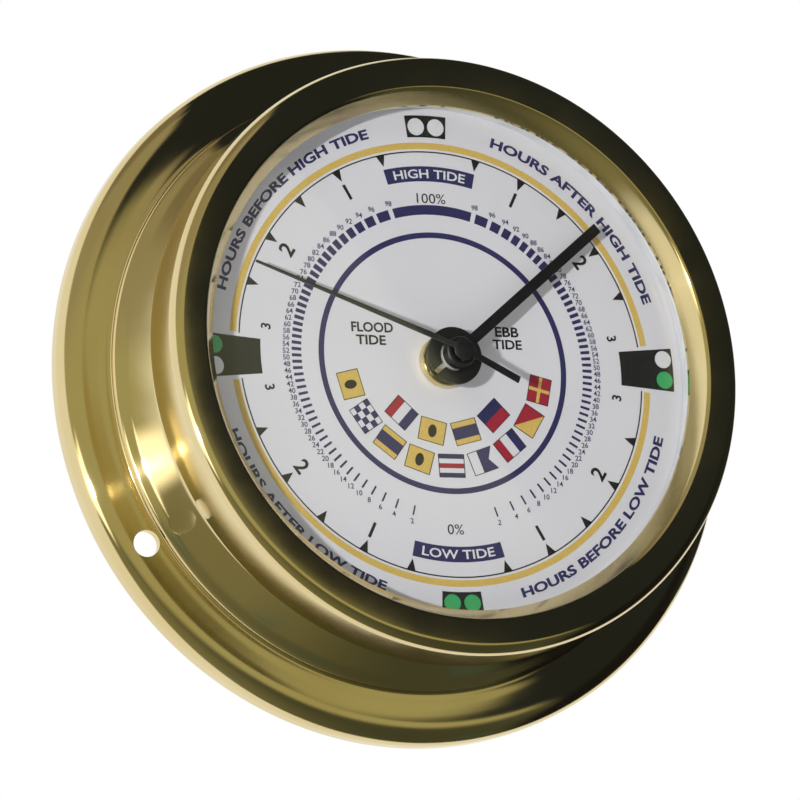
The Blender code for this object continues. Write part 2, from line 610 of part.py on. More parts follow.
def bay_sizes():
    """Bottom and top of the cell's bay, and the height of the cell's axis."""
    inner = CASING_INSIDE / 2
    bottom = -inner
    axis = bottom + SEAT_GAP + CELL_RADIUS
    return bottom, axis + CELL_RADIUS + SEAT_GAP, axis


def build_casing(places):
    plastic = material("grey ABS", (0.16, 0.16, 0.17), 0.5)
    inner = CASING_INSIDE / 2
    bay_bottom, bay_top, _ = bay_sizes()
    front = COVER_BACK - SEAT_GAP
    outline = rounded_square(CASING_SIZE, CASING_CORNER)
    housing = add("movement_housing", extruded(outline, CASING_BACK, front), plastic)
    chamber = extruded(rectangle(-inner, inner, bay_top + CASING_WALL, inner), FLOOR, front + CUT)
    combine(housing, chamber, "DIFFERENCE")
    bay = extruded(rectangle(-inner, inner, bay_bottom, bay_top), CASING_BACK - CUT, front + CUT)
    combine(housing, bay, "DIFFERENCE")
    for index, place in enumerate(post_places(places)):
        post = extruded(circle(POST_RADIUS), FLOOR - CASING_WALL / 2, PLATE_BACK - SEAT_GAP)
        combine(housing, post, "UNION", place)
        if index < 2:
            hole = extruded(circle(SCREW_SHANK + RUN_GAP), PLATE_BACK - SCREW_LENGTH, PLATE_BACK)
            combine(housing, hole, "DIFFERENCE", place)
    for name in ("centre", "third", "step", "rotor"):
        boss = extruded(circle(ARBOR_BOSS_RADIUS), FLOOR - CASING_WALL / 2, FLOOR + ARBOR_BOSS_HEIGHT)
        combine(housing, boss, "UNION", places[name])
        bearing = extruded(circle(SECONDS_ARBOR_RADIUS + RUN_GAP), FLOOR, FLOOR + 2 * ARBOR_BOSS_HEIGHT)
        combine(housing, bearing, "DIFFERENCE", places[name])
    setting = extruded(circle(SETTING_ARBOR_RADIUS + RUN_GAP), CASING_BACK - CUT, FLOOR + CUT)
    combine(housing, setting, "DIFFERENCE", places["setting"])

    cover = add("movement_cover", extruded(outline, COVER_BACK, COVER_FRONT), plastic)
    stud = extruded(circle(motion_stud_radius()), MOTION_WHEEL_BACK - SEAT_GAP / 2,
                    COVER_BACK + CASING_WALL / 2)
    combine(cover, stud, "UNION", places["motion"])
    recess = extruded(circle(BUSH_FOOT_RADIUS + RUN_GAP), COVER_BACK - CUT, BUSH_FOOT_FRONT + SEAT_GAP)
    combine(cover, recess, "DIFFERENCE")
    opening = extruded(circle(BUSH_HOLE), COVER_BACK - CUT, COVER_FRONT + CUT)
    combine(cover, opening, "DIFFERENCE")


def motion_stud_radius():
    """Stud on which the motion wheel turns, inside the root circle of its pinion."""
    root = motion_pinion_module() * (MOTION_PINION / 2 - TOOTH_DEDENDUM)
    return root - PINION_WALL - RUN_GAP


def motion_pinion_module():
    """Module that gives both pairs of the motion work one centre distance."""
    return MOTION_MODULE * (MINUTE_PINION + MOTION_WHEEL) / (MOTION_PINION + TIDE_WHEEL)


def third_pinion_module():
    """Module that sets the minute wheel on the same centre distance as the seconds pinion."""
    return GOING_MODULE * (SECONDS_PINION + THIRD_WHEEL) / (THIRD_PINION + MINUTE_WHEEL)


def wheel_places():
    """Axes of the wheels as (x, z)."""
    centre = (0.0, 0.0)
    third = beyond(centre, GOING_MODULE * (SECONDS_PINION + THIRD_WHEEL) / 2, THIRD_DIRECTION)
    motion = beyond(centre, MOTION_MODULE * (MINUTE_PINION + MOTION_WHEEL) / 2, MOTION_DIRECTION)
    setting = beyond(motion, MOTION_MODULE * (MOTION_WHEEL + SETTING_PINION) / 2, SETTING_DIRECTION)
    step = beyond(centre, GOING_MODULE * (STEP_PINION + SECONDS_WHEEL) / 2, STEP_DIRECTION)
    rotor = beyond(step, ROTOR_MODULE * (ROTOR_PINION + STEP_WHEEL) / 2, ROTOR_DIRECTION)
    return {"centre": centre, "third": third, "motion": motion, "setting": setting, "step": step,
            "rotor": rotor}


def build_setting_train(places, parents):
    """Minute tube, motion wheel, tide tube and setting arbor, which turn together."""
    acetal = material("white acetal", (0.72, 0.72, 0.7), 0.45)
    nickel = material("nickelled brass", STEEL, 0.25, 1.0)
    black = material("black plastic", BLACK, 0.4)
    pinion_module = motion_pinion_module()
    motion_phase = math.radians(MOTION_DIRECTION + 180)
    minute_phase = meshing_phase(MOTION_WHEEL, motion_phase, MOTION_DIRECTION + 180, MINUTE_PINION)
    setting_phase = meshing_phase(MOTION_WHEEL, motion_phase, SETTING_DIRECTION, SETTING_PINION)
    tide_phase = meshing_phase(MOTION_PINION, motion_phase, MOTION_DIRECTION + 180, TIDE_WHEEL)

    wheel = extruded(gear(TIDE_WHEEL, pinion_module, tide_phase), TIDE_WHEEL_BACK, TIDE_WHEEL_FRONT)
    tide = add("tide_tube", wheel, acetal, parents["tide"])
    tube = extruded(circle(TIDE_TUBE_RADIUS), TIDE_WHEEL_BACK + ROOT_JOINT, TIDE_TUBE_FRONT)
    combine(tide, tube, "UNION")
    combine(tide, extruded(circle(TIDE_BORE), TIDE_WHEEL_BACK - CUT, TIDE_TUBE_FRONT + CUT),
            "DIFFERENCE")

    wheel = extruded(gear(MOTION_WHEEL, MOTION_MODULE, motion_phase), MOTION_WHEEL_BACK,
                     MOTION_WHEEL_FRONT)
    motion = add("motion_wheel", wheel, acetal, parents["motion"])
    pinion = extruded(gear(MOTION_PINION, pinion_module, motion_phase), MOTION_WHEEL_FRONT - ROOT_JOINT,
                      TIDE_WHEEL_FRONT)
    combine(motion, pinion, "UNION", places["motion"])
    bore = extruded(circle(motion_stud_radius() + RUN_GAP), MOTION_WHEEL_BACK - CUT,
                    TIDE_WHEEL_FRONT + CUT)
    combine(motion, bore, "DIFFERENCE", places["motion"])

    pinion = extruded(gear(MINUTE_PINION, MOTION_MODULE, minute_phase), MOTION_WHEEL_BACK,
                      MOTION_WHEEL_FRONT)
    minute = add("minute_tube", pinion, nickel, parents["minute"])
    tube_back = PLATE_FRONT + SEAT_GAP
    combine(minute, extruded(circle(MINUTE_TUBE_RADIUS), tube_back, MINUTE_TUBE_FRONT), "UNION")
    combine(minute, extruded(circle(MINUTE_BORE), tube_back - CUT, MINUTE_TUBE_FRONT + CUT),
            "DIFFERENCE")
    edge = CAP_EDGE
    profile = [(TIDE_BORE, CAP_BACK), (CAP_RADIUS - edge, CAP_BACK), (CAP_RADIUS, CAP_BACK + edge),
               (CAP_RADIUS, CAP_FRONT - 2 * edge), (CAP_RADIUS - edge, CAP_FRONT - edge / 2),
               (CAP_RADIUS - 3 * edge, CAP_FRONT), (TIDE_BORE, CAP_FRONT)]
    add("cap_nut", turned(profile, SMALL_SEGMENTS), black, parents["minute"])

    knob_front = CASING_BACK - SEAT_GAP
    flutes = gear(KNOB_FLUTES, 2 * KNOB_RADIUS / (KNOB_FLUTES + 2 * TOOTH_ADDENDUM))
    knob = add("setting_knob", extruded(flutes, knob_front - KNOB_LENGTH, knob_front), black,
               parents["setting"])
    combine(knob, extruded(circle(SETTING_ARBOR_RADIUS), knob_front - ROOT_JOINT, MOTION_WHEEL_BACK
                           + ROOT_JOINT), "UNION", places["setting"])
    pinion = extruded(gear(SETTING_PINION, MOTION_MODULE, setting_phase), MOTION_WHEEL_BACK,
                      MOTION_WHEEL_FRONT)
    combine(knob, pinion, "UNION", places["setting"])


def build_going_train(places, parents):
    """Rotor, step wheel, seconds wheel, third wheel and minute wheel, which turn together."""
    acetal = material("natural acetal", (0.6, 0.6, 0.55), 0.45)
    steel = material("steel arbor", STEEL, 0.3, 1.0)
    ferrite = material("ferrite magnet", (0.06, 0.06, 0.06), 0.5)
    step_phase = math.radians(ROTOR_DIRECTION)
    rotor_phase = meshing_phase(STEP_WHEEL, step_phase, ROTOR_DIRECTION, ROTOR_PINION)
    seconds_phase = meshing_phase(STEP_PINION, step_phase, STEP_DIRECTION + 180, SECONDS_WHEEL)
    third_phase = meshing_phase(SECONDS_PINION, seconds_phase, THIRD_DIRECTION, THIRD_WHEEL)
    minute_phase = meshing_phase(THIRD_PINION, third_phase, THIRD_DIRECTION + 180, MINUTE_WHEEL)
    third_module = third_pinion_module()

    def arbor(target, radius, back, front, place):
        combine(target, extruded(circle(radius, SMALL_SEGMENTS // 2), back, front), "UNION", place)

    wheel = extruded(gear(SECONDS_WHEEL, GOING_MODULE, seconds_phase), SECONDS_WHEEL_BACK,
                     SECONDS_WHEEL_FRONT)
    seconds = add("seconds_wheel", wheel, steel, parents["seconds"])
    pinion = extruded(gear(SECONDS_PINION, GOING_MODULE, seconds_phase), SECONDS_WHEEL_FRONT - ROOT_JOINT,
                      THIRD_WHEEL_FRONT)
    combine(seconds, pinion, "UNION")
    arbor(seconds, SECONDS_ARBOR_RADIUS, ARBOR_BACK, SECONDS_REST - SEAT_GAP, places["centre"])

    wheel = extruded(gear(THIRD_WHEEL, GOING_MODULE, third_phase), THIRD_WHEEL_BACK, THIRD_WHEEL_FRONT)
    third = add("third_wheel", wheel, acetal, parents["third"])
    pinion = extruded(gear(THIRD_PINION, third_module, third_phase), MINUTE_WHEEL_BACK,
                      MINUTE_WHEEL_FRONT)
    combine(third, pinion, "UNION", places["third"])
    arbor(third, ARBOR_RADIUS, ARBOR_BACK, MINUTE_WHEEL_FRONT + ARBOR_END, places["third"])

    wheel = extruded(gear(MINUTE_WHEEL, third_module, minute_phase), MINUTE_WHEEL_BACK,
                     MINUTE_WHEEL_FRONT)
    minute = add("minute_wheel", wheel, acetal, parents["minute_going"])
    combine(minute, extruded(circle(TIDE_BORE), MINUTE_WHEEL_BACK - CUT, MINUTE_WHEEL_FRONT + CUT),
            "DIFFERENCE")

    wheel = extruded(gear(STEP_WHEEL, ROTOR_MODULE, step_phase), STEP_WHEEL_BACK, STEP_WHEEL_FRONT)
    step = add("step_wheel", wheel, acetal, parents["step"])
    pinion = extruded(gear(STEP_PINION, GOING_MODULE, step_phase), STEP_WHEEL_FRONT - ROOT_JOINT,
                      SECONDS_WHEEL_FRONT)
    combine(step, pinion, "UNION", places["step"])
    arbor(step, ARBOR_RADIUS, ARBOR_BACK, PLATE_FRONT - ARBOR_END, places["step"])

    pinion = extruded(gear(ROTOR_PINION, ROTOR_MODULE, rotor_phase), STEP_WHEEL_BACK, STEP_WHEEL_FRONT)
    rotor = add("rotor_pinion", pinion, steel, parents["rotor"])
    arbor(rotor, ARBOR_RADIUS, ARBOR_BACK, PLATE_FRONT - ARBOR_END, places["rotor"])
    half = ROTOR_MAGNET_LENGTH / 2
    magnet = ring(ARBOR_RADIUS + SEAT_GAP, ROTOR_MAGNET_RADIUS, MAGNET_MIDDLE - half, MAGNET_MIDDLE + half)
    add("rotor_magnet", magnet, ferrite, parents["rotor"])


def build_train_plate(places):
    plastic = material("black glass-filled plastic", (0.03, 0.03, 0.03), 0.55)
    steel = material("screw steel", STEEL, 0.35, 1.0)
    posts = post_places(places)
    held = posts + [places["setting"], places["third"], places["rotor"]]
    margin = POST_RADIUS + PLATE_MARGIN
    outline = rectangle(min(place[0] for place in held) - margin, max(place[0] for place in held) + margin,
                        min(place[1] for place in held) - margin, max(place[1] for place in held) + margin)
    plate = add("train_plate", extruded(outline, PLATE_BACK, PLATE_FRONT), plastic)
    holes = [(places["centre"], MINUTE_BORE), (places["third"], ARBOR_RADIUS + RUN_GAP),
             (places["step"], ARBOR_RADIUS + RUN_GAP), (places["rotor"], ARBOR_RADIUS + RUN_GAP),
             (places["setting"], SETTING_ARBOR_RADIUS + RUN_GAP)]
    holes += [(place, SCREW_SHANK + RUN_GAP) for place in posts[:2]]
    for place, radius in holes:
        hole = extruded(circle(radius), PLATE_BACK - CUT, PLATE_FRONT + CUT)
        combine(plate, hole, "DIFFERENCE", place)
    head_back = PLATE_FRONT + SEAT_GAP
    end = PLATE_BACK - SCREW_LENGTH + SEAT_GAP
    profile = [(0.0, end), (SCREW_SHANK, end), (SCREW_SHANK, head_back), (SCREW_HEAD_RADIUS, head_back),
               (SCREW_HEAD_RADIUS, head_back + 0.6 * SCREW_HEAD), (0.6 * SCREW_HEAD_RADIUS,
               head_back + SCREW_HEAD), (0.0, head_back + SCREW_HEAD)]
    for index, place in enumerate(posts[:2]):
        add(f"plate_screw_{index + 1}", turned(profile, SMALL_SEGMENTS), steel, place=place)


def build_motor(places):
    """Stator on its two feet, and the core that lies across its ears with the bobbin and winding."""
    iron = material("soft iron", (0.35, 0.35, 0.36), 0.35, 1.0)
    nylon = material("green nylon bobbin", (0.05, 0.2, 0.08), 0.5)
    copper = material("enamelled copper wire", (0.5, 0.17, 0.06), 0.35, 1.0)
    rotor_x, rotor_z = places["rotor"]
    reach = stator_reach()
    inner = CASING_INSIDE / 2
    coil_z = inner - COIL_RADIUS - COIL_TOP_GAP
    right = inner - STATOR_SIDE_GAP
    left = right - COIL_LENGTH - 2 * (STATOR_EAR + SEAT_GAP)
    low = coil_z - CORE_WIDTH / 2 - SEAT_GAP
    high = coil_z + CORE_WIDTH / 2 + SEAT_GAP
    below_coil = coil_z - COIL_RADIUS - RUN_GAP
    outline = [(left, high), (left, low), (rotor_x - reach, rotor_z + 0.4 * reach),
               (rotor_x - reach, rotor_z - 0.45 * reach), (rotor_x - 0.5 * reach, rotor_z - 0.95 * reach),
               (rotor_x + 0.5 * reach, rotor_z - 0.95 * reach), (rotor_x + reach, rotor_z - 0.45 * reach),
               (rotor_x + reach, rotor_z + 0.4 * reach), (right, low), (right, high),
               (right - STATOR_EAR, high), (right - STATOR_EAR, below_coil),
               (rotor_x + 0.4 * reach, rotor_z + 1.05 * reach),
               (rotor_x - 0.4 * reach, rotor_z + 1.05 * reach),
               (left + STATOR_EAR, below_coil), (left + STATOR_EAR, high)]
    stator = add("stator_plate", extruded(outline, STATOR_BACK, STATOR_FRONT), iron)
    gap_hole = extruded(circle(ROTOR_MAGNET_RADIUS + STATOR_AIR_GAP), STATOR_BACK - CUT,
                        STATOR_FRONT + CUT)
    combine(stator, gap_hole, "DIFFERENCE", places["rotor"])
    for foot_x in (left + STATOR_EAR / 2, right - STATOR_EAR / 2):
        foot = extruded(circle(STATOR_FOOT_RADIUS), FLOOR + SEAT_GAP, STATOR_BACK + STATOR_THICKNESS / 2)
        combine(stator, foot, "UNION", (foot_x, coil_z))

    core = rectangle(left, right, coil_z - CORE_WIDTH / 2, coil_z + CORE_WIDTH / 2)
    add("coil_core", extruded(core, CORE_BACK, CORE_FRONT), iron)

    start = left + STATOR_EAR + SEAT_GAP
    end = start + COIL_LENGTH
    hub = math.hypot(CORE_WIDTH, STATOR_THICKNESS) / 2 + SEAT_GAP
    tube = hub + COIL_TUBE
    bobbin = [(hub, start), (COIL_RADIUS, start), (COIL_RADIUS, start + COIL_FLANGE),
              (tube, start + COIL_FLANGE), (tube, end - COIL_FLANGE), (COIL_RADIUS, end - COIL_FLANGE),
              (COIL_RADIUS, end), (hub, end)]
    wound = COIL_RADIUS - SEAT_GAP / 2
    winding = [(tube + SEAT_GAP, start + COIL_FLANGE + SEAT_GAP), (wound, start + COIL_FLANGE + SEAT_GAP),
               (wound, end - COIL_FLANGE - SEAT_GAP), (tube + SEAT_GAP, end - COIL_FLANGE - SEAT_GAP)]
    lay = lying_along_x(0.0, (CORE_BACK + CORE_FRONT) / 2, coil_z)
    for name, section, finish in (("coil_bobbin", bobbin, nylon), ("coil_winding", winding, copper)):
        body = turned(section, SMALL_SEGMENTS)
        bmesh.ops.transform(body, matrix=lay, verts=body.verts)
        add(name, body, finish)


def lying_along_x(x, depth, z):
    """Matrix that lays a turned body along +X, at a depth and height."""
    return Matrix.Translation((x, -depth, z)) @ Matrix.Rotation(math.radians(90), 4, "Z")


def build_circuit(places):
    board_finish = material("green solder mask board", (0.01, 0.12, 0.04), 0.4)
    epoxy = material("black epoxy", BLACK, 0.3)
    can = material("tinned can", STEEL, 0.25, 1.0)
    inner = CASING_INSIDE / 2
    right = places["setting"][0] - SETTING_ARBOR_RADIUS - BOARD_CORNER_GAP
    left = -inner + SEAT_GAP
    back = FLOOR + SEAT_GAP
    front = back + BOARD_THICKNESS
    board = rectangle(left, right, -BOARD_BELOW, inner - BOARD_CORNER_GAP)
    add("circuit_board", extruded(board, back, front), board_finish)
    middle = (left + right) / 2
    base = front + SEAT_GAP
    profile = [(0.0, base), (CHIP_RADIUS, base), (0.9 * CHIP_RADIUS, base + 0.5 * CHIP_HEIGHT),
               (0.6 * CHIP_RADIUS, base + 0.9 * CHIP_HEIGHT), (0.0, base + CHIP_HEIGHT)]
    add("chip_cover", turned(profile, SMALL_SEGMENTS), epoxy, place=(middle, CHIP_RISE))
    crystal = turned([(0.0, 0.0), (CRYSTAL_RADIUS, 0.0), (CRYSTAL_RADIUS, CRYSTAL_LENGTH),
                      (0.0, CRYSTAL_LENGTH)], SMALL_SEGMENTS // 2)
    foot_z = CHIP_RISE + CHIP_RADIUS + CRYSTAL_GAP
    stand = Matrix.Translation((middle, -base - CRYSTAL_RADIUS, foot_z)) @ Matrix.Rotation(
        math.radians(-90), 4, "X")
    bmesh.ops.transform(crystal, matrix=stand, verts=crystal.verts)
    add("crystal_can", crystal, can)


def build_cell():
    shell = material("cell wrapper", (0.02, 0.09, 0.25), 0.35, 0.4)
    spring = material("nickelled spring steel", STEEL, 0.25, 1.0)
    _, bay_top, axis_z = bay_sizes()
    axis_depth = COVER_BACK - 2 * SEAT_GAP - CELL_RADIUS
    contact_x = CASING_INSIDE / 2 - SEAT_GAP
    nub_end = contact_x - CONTACT_SHEET - SEAT_GAP
    shoulder = nub_end - CELL_NUB_LENGTH
    start = shoulder - CELL_LENGTH
    edge = CELL_EDGE
    profile = [(0.0, start), (CELL_RADIUS - edge, start), (CELL_RADIUS, start + edge),
               (CELL_RADIUS, shoulder - edge), (CELL_RADIUS - edge, shoulder),
               (CELL_NUB_RADIUS, shoulder), (CELL_NUB_RADIUS, nub_end), (0.0, nub_end)]
    cell = turned(profile, SMALL_SEGMENTS)
    bmesh.ops.transform(cell, matrix=lying_along_x(0.0, axis_depth, axis_z), verts=cell.verts)
    add("battery_cell", cell, shell)
    plate = rectangle(contact_x - CONTACT_SHEET, contact_x, axis_z - CONTACT_RADIUS, axis_z
                      + CONTACT_RADIUS)
    add("contact_positive", extruded(plate, axis_depth - CONTACT_RADIUS, axis_depth + CONTACT_RADIUS),
        spring)
    reach = start - SEAT_GAP + contact_x
    cone = [(0.0, 0.0), (CONTACT_RADIUS, 0.0), (CONTACT_RADIUS, CONTACT_SHEET),
            (0.6 * CONTACT_RADIUS, (CONTACT_SHEET + reach) / 2), (0.35 * CONTACT_RADIUS, reach),
            (0.0, reach)]
    body = turned(cone, SMALL_SEGMENTS)
    bmesh.ops.transform(body, matrix=lying_along_x(-contact_x, axis_depth, axis_z), verts=body.verts)
    add("contact_negative", body, spring)


def main():
    for item in list(bpy.data.objects):
        bpy.data.objects.remove(item, do_unlink=True)
    brass = material("polished spun brass", BRASS, 0.12, 1.0)
    build_case(brass)
    build_bezel(brass)
    build_glass_and_dial()
    places = wheel_places()
    axes = (("tide", "centre"), ("minute", "centre"), ("minute_going", "centre"), ("seconds", "centre"),
            ("motion", "motion"), ("setting", "setting"), ("third", "third"), ("step", "step"),
            ("rotor", "rotor"))
    parents = {name: axis_empty(f"{name}_axis", places[place]) for name, place in axes}
    build_tide_hand(parents["tide"])
    build_seconds_hand(parents["seconds"])
    build_centre_fittings(material("turned brass", BRASS, 0.2, 1.0))
    build_casing(places)
    build_setting_train(places, parents)
    build_going_train(places, parents)
    build_train_plate(places)
    build_motor(places)
    build_circuit(places)
    build_cell()


main()
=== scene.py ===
"""Looks of the bulkhead tide clock: spun brass case, printed dial, domed glass and quartz movement.

Frame: metres, +Z up.  The bulkhead is the plane y = 0, the dial faces -Y and the hands turn about Y.
A depth is a distance in front of the bulkhead, so that a point at depth d lies at y = -d.
A section is a list of (radius, depth) points, and a clock angle is in degrees clockwise from 12 o'clock.
"""

import math

import bmesh
import bpy
from bpy.props import FloatProperty, FloatVectorProperty, PointerProperty
from mathutils import Matrix, Vector


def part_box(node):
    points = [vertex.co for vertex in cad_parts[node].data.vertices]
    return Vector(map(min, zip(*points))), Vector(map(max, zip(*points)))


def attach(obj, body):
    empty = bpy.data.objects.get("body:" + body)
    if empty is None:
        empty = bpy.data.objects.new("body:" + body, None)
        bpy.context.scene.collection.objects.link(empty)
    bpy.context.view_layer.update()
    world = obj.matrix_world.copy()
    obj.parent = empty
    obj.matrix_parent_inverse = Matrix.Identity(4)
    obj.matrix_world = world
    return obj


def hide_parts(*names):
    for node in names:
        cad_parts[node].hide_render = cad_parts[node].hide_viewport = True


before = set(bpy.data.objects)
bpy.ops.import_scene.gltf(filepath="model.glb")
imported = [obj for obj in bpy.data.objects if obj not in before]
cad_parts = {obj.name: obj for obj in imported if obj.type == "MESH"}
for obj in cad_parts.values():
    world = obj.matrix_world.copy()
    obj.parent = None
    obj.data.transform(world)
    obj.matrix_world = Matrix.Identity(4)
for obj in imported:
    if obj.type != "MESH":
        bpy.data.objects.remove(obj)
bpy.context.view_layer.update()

bl_info = {
    "name": "Bulkhead tide clock",
    "version": (1, 0, 0),
    "blender": (4, 5, 0),
    "location": "View3D > Sidebar > Tide clock",
    "description": "Makes a brass bulkhead tide clock piece by piece around its packed frame",
    "category": "Add Mesh",
}

MM = 0.001
UNIT = 38.63 * MM  # unit of the dial's drawing: the middle radius of its yellow ring
FINE = 256  # segments of the large turned pieces
SMALL = 64  # segments of the small turned pieces


def linear(code):
    """Turn an sRGB hex value into a linear colour."""
    channels = [int(code[index:index + 2], 16) / 255 for index in (0, 2, 4)]
    return tuple(c / 12.92 if c <= 0.04045 else ((c + 0.055) / 1.055) ** 2.4 for c in channels)


def front_of(node):
    """Depth of the front face of a CAD node."""
    return -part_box(node)[0].y


def back_of(node):
    """Depth of the back face of a CAD node."""
    return -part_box(node)[1].y


def radius_of(node):
    """Half the width of a CAD node that is turned about the Y axis."""
    low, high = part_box(node)
    return (high.x - low.x) / 2


def size_property(name, description, millimetres):
    return FloatProperty(name=name, description=description, default=millimetres * MM, min=0.0,
                         unit="LENGTH", precision=5)


def colour_property(name, description, code):
    return FloatVectorProperty(name=name, description=description, default=linear(code),
                               subtype="COLOR", size=3, min=0.0, max=1.0)


class ClockSizes(bpy.types.PropertyGroup):
    """Sizes of the visible pieces."""
    bead_radius: size_property("Bead radius", "Radius of the rim's edge at the bulkhead", 2.4)
    bead_lift: size_property("Bead lift", "Gap from the bulkhead to the rim's edge", 0.05)
    rim_roll: size_property("Rim roll", "Radius of the rim's round front edge", 2.9)
    crest: size_property("Crest", "Depth of the rim where the channel starts", 7.05)
    step_radius: size_property("Step radius", "Radius of the step inside the channel", 54.3)
    neck_radius: size_property("Neck radius", "Outer radius of the neck that holds the dial", 48.2)
    sheet: size_property("Sheet", "Thickness of the brass sheet", 1.2)
    screw_hole: size_property("Screw hole", "Diameter of the three screw holes", 4.6)
    screw_circle: size_property("Screw circle", "Radius of the circle of the screw holes", 57.29)
    spot: size_property("Spot", "Diameter of the three shallow round spots", 4.8)
    lip_radius: size_property("Lip radius", "Radius of the opening of the bezel", 44.5)
    shoulder: size_property("Shoulder", "Radius of the bezel's rounded shoulder", 1.9)
    ink: size_property("Ink", "Thickness of a printed layer on the dial", 0.03)


class ClockColours(bpy.types.PropertyGroup):
    """Colours of the visible finishes."""
    brass: colour_property("Brass", "Polished brass", "E0CF9E")
    brass_shade: colour_property("Brass shade", "Brass under old lacquer", "DAC792")
    lacquer: colour_property("Lacquer", "White dial", "E5E4E8")
    navy: colour_property("Navy", "Dark blue ink", "2E2A5C")
    yellow: colour_property("Yellow", "Yellow ink", "E0BE63")
    red: colour_property("Red", "Red ink", "A81F34")
    green: colour_property("Green", "Green ink", "43B56B")
    black: colour_property("Black", "Black ink and black hands", "161614")


class ClockStudio(bpy.types.PropertyGroup):
    """Light of the scene."""
    ambient: FloatProperty(name="Ambient", description="Strength of the soft light from all sides",
                           default=0.43, min=0.0)
    key: FloatProperty(name="Key lamp", description="Power of the lamp on the left, in watts",
                       default=6.5, min=0.0)


def add_node(tree, kind, inputs=None, **settings):
    """Add a node; each input takes a constant, an output, or the first output of a node."""
    node = tree.nodes.new("ShaderNode" + kind)
    for name, value in settings.items():
        setattr(node, name, value)
    for name, value in (inputs or {}).items():
        if isinstance(value, bpy.types.Node):
            value = value.outputs[0]
        if isinstance(value, bpy.types.NodeSocket):
            tree.links.new(value, node.inputs[name])
        else:
            node.inputs[name].default_value = value
    return node


def start_material(name, base, roughness, sockets=None):
    """New material whose shader has its constants set; returns it with its node tree and shader."""
    made = bpy.data.materials.new(name)
    made.use_nodes = True
    tree = made.node_tree
    shader = tree.nodes["Principled BSDF"]
    shader.inputs["Base Color"].default_value = (*base, 1.0)
    shader.inputs["Roughness"].default_value = roughness
    for socket, value in (sockets or {}).items():
        shader.inputs[socket].default_value = value
    made.diffuse_color = (*base, 1.0)
    return made, tree, shader


def tinted(colour, factor):
    """Colour with its channels multiplied by a factor."""
    return tuple(factor * channel for channel in colour)


def noise(tree, size, detail=2.0, roughness=0.5):
    """Noise over the object whose features are about a given size in metres."""
    place = add_node(tree, "TexCoord").outputs["Object"]
    return add_node(tree, "TexNoise", {"Vector": place, "Scale": 1 / size, "Detail": detail,
                                       "Roughness": roughness})


def blend_colours(tree, shader, factor, first, second, low=0.35, high=0.65):
    """Mix two colours into the base colour by a factor between two levels."""
    level = add_node(tree, "MapRange", {0: factor, 1: low, 2: high})
    mixed = add_node(tree, "Mix", {0: level, 6: (*first, 1), 7: (*second, 1)}, data_type="RGBA")
    tree.links.new(mixed.outputs[2], shader.inputs["Base Color"])


def vary_roughness(tree, shader, factor, low, high):
    level = add_node(tree, "MapRange", {0: factor, 1: 0.3, 2: 0.7, 3: low, 4: high})
    tree.links.new(level.outputs[0], shader.inputs["Roughness"])


def bump(tree, shader, height, distance, strength=1.0):
    made = add_node(tree, "Bump", {"Height": height, "Strength": strength, "Distance": distance})
    tree.links.new(made.outputs["Normal"], shader.inputs["Normal"])


def lathe_lines(tree, spacing):
    """Noise that changes only with radius and depth, as the lines that a lathe leaves."""
    place = add_node(tree, "TexCoord").outputs["Object"]
    flat = add_node(tree, "VectorMath", {0: place, 1: (1, 0, 1)}, operation="MULTIPLY")
    radius = add_node(tree, "VectorMath", {0: flat}, operation="LENGTH").outputs["Value"]
    depth = add_node(tree, "SeparateXYZ", {0: place}).outputs["Y"]
    along = add_node(tree, "Math", {0: depth, 1: -0.6, 2: radius}, operation="MULTIPLY_ADD")
    return add_node(tree, "TexNoise", {"W": along, "Scale": 1 / spacing, "Detail": 1.0},
                    noise_dimensions="1D")


def polished_brass(name, colours, roughness=0.075, spacing=0.5 * MM, stain=30 * MM):
    """Spun or turned brass, polished and lacquered: sharp reflections, faint lathe lines that
    draw each lamp out into a streak, and slow changes of hue where the lacquer is thick."""
    made, tree, shader = start_material(name, colours.brass, roughness,
                                        {"Metallic": 1.0, "Anisotropic": 1.0,
                                         "Anisotropic Rotation": 0.25})
    tangent = add_node(tree, "Tangent", direction_type="RADIAL", axis="Y")
    tree.links.new(tangent.outputs[0], shader.inputs["Tangent"])
    blend_colours(tree, shader, noise(tree, stain), colours.brass, colours.brass_shade)
    wear = noise(tree, 12 * MM, 4.0, 0.6)
    vary_roughness(tree, shader, wear, 0.8 * roughness, 1.3 * roughness)
    bump(tree, shader, lathe_lines(tree, spacing), 0.0015 * MM, 0.5)
    return made


def printed_ink(name, colour):
    """Screen-printed ink: matt, with a slightly uneven film."""
    made, tree, shader = start_material(name, colour, 0.5)
    film = noise(tree, 0.4 * MM, 3.0)
    blend_colours(tree, shader, film, tinted(colour, 0.9), colour)
    vary_roughness(tree, shader, film, 0.45, 0.6)
    return made


def dial_lacquer(colours):
    """White stoving lacquer on aluminium: even, with a faint orange-peel surface."""
    made, tree, shader = start_material("white_stoving_lacquer", colours.lacquer, 0.45)
    blend_colours(tree, shader, noise(tree, 20 * MM), tinted(colours.lacquer, 0.97), colours.lacquer)
    bump(tree, shader, noise(tree, 1.2 * MM), 0.004 * MM, 0.4)
    return made


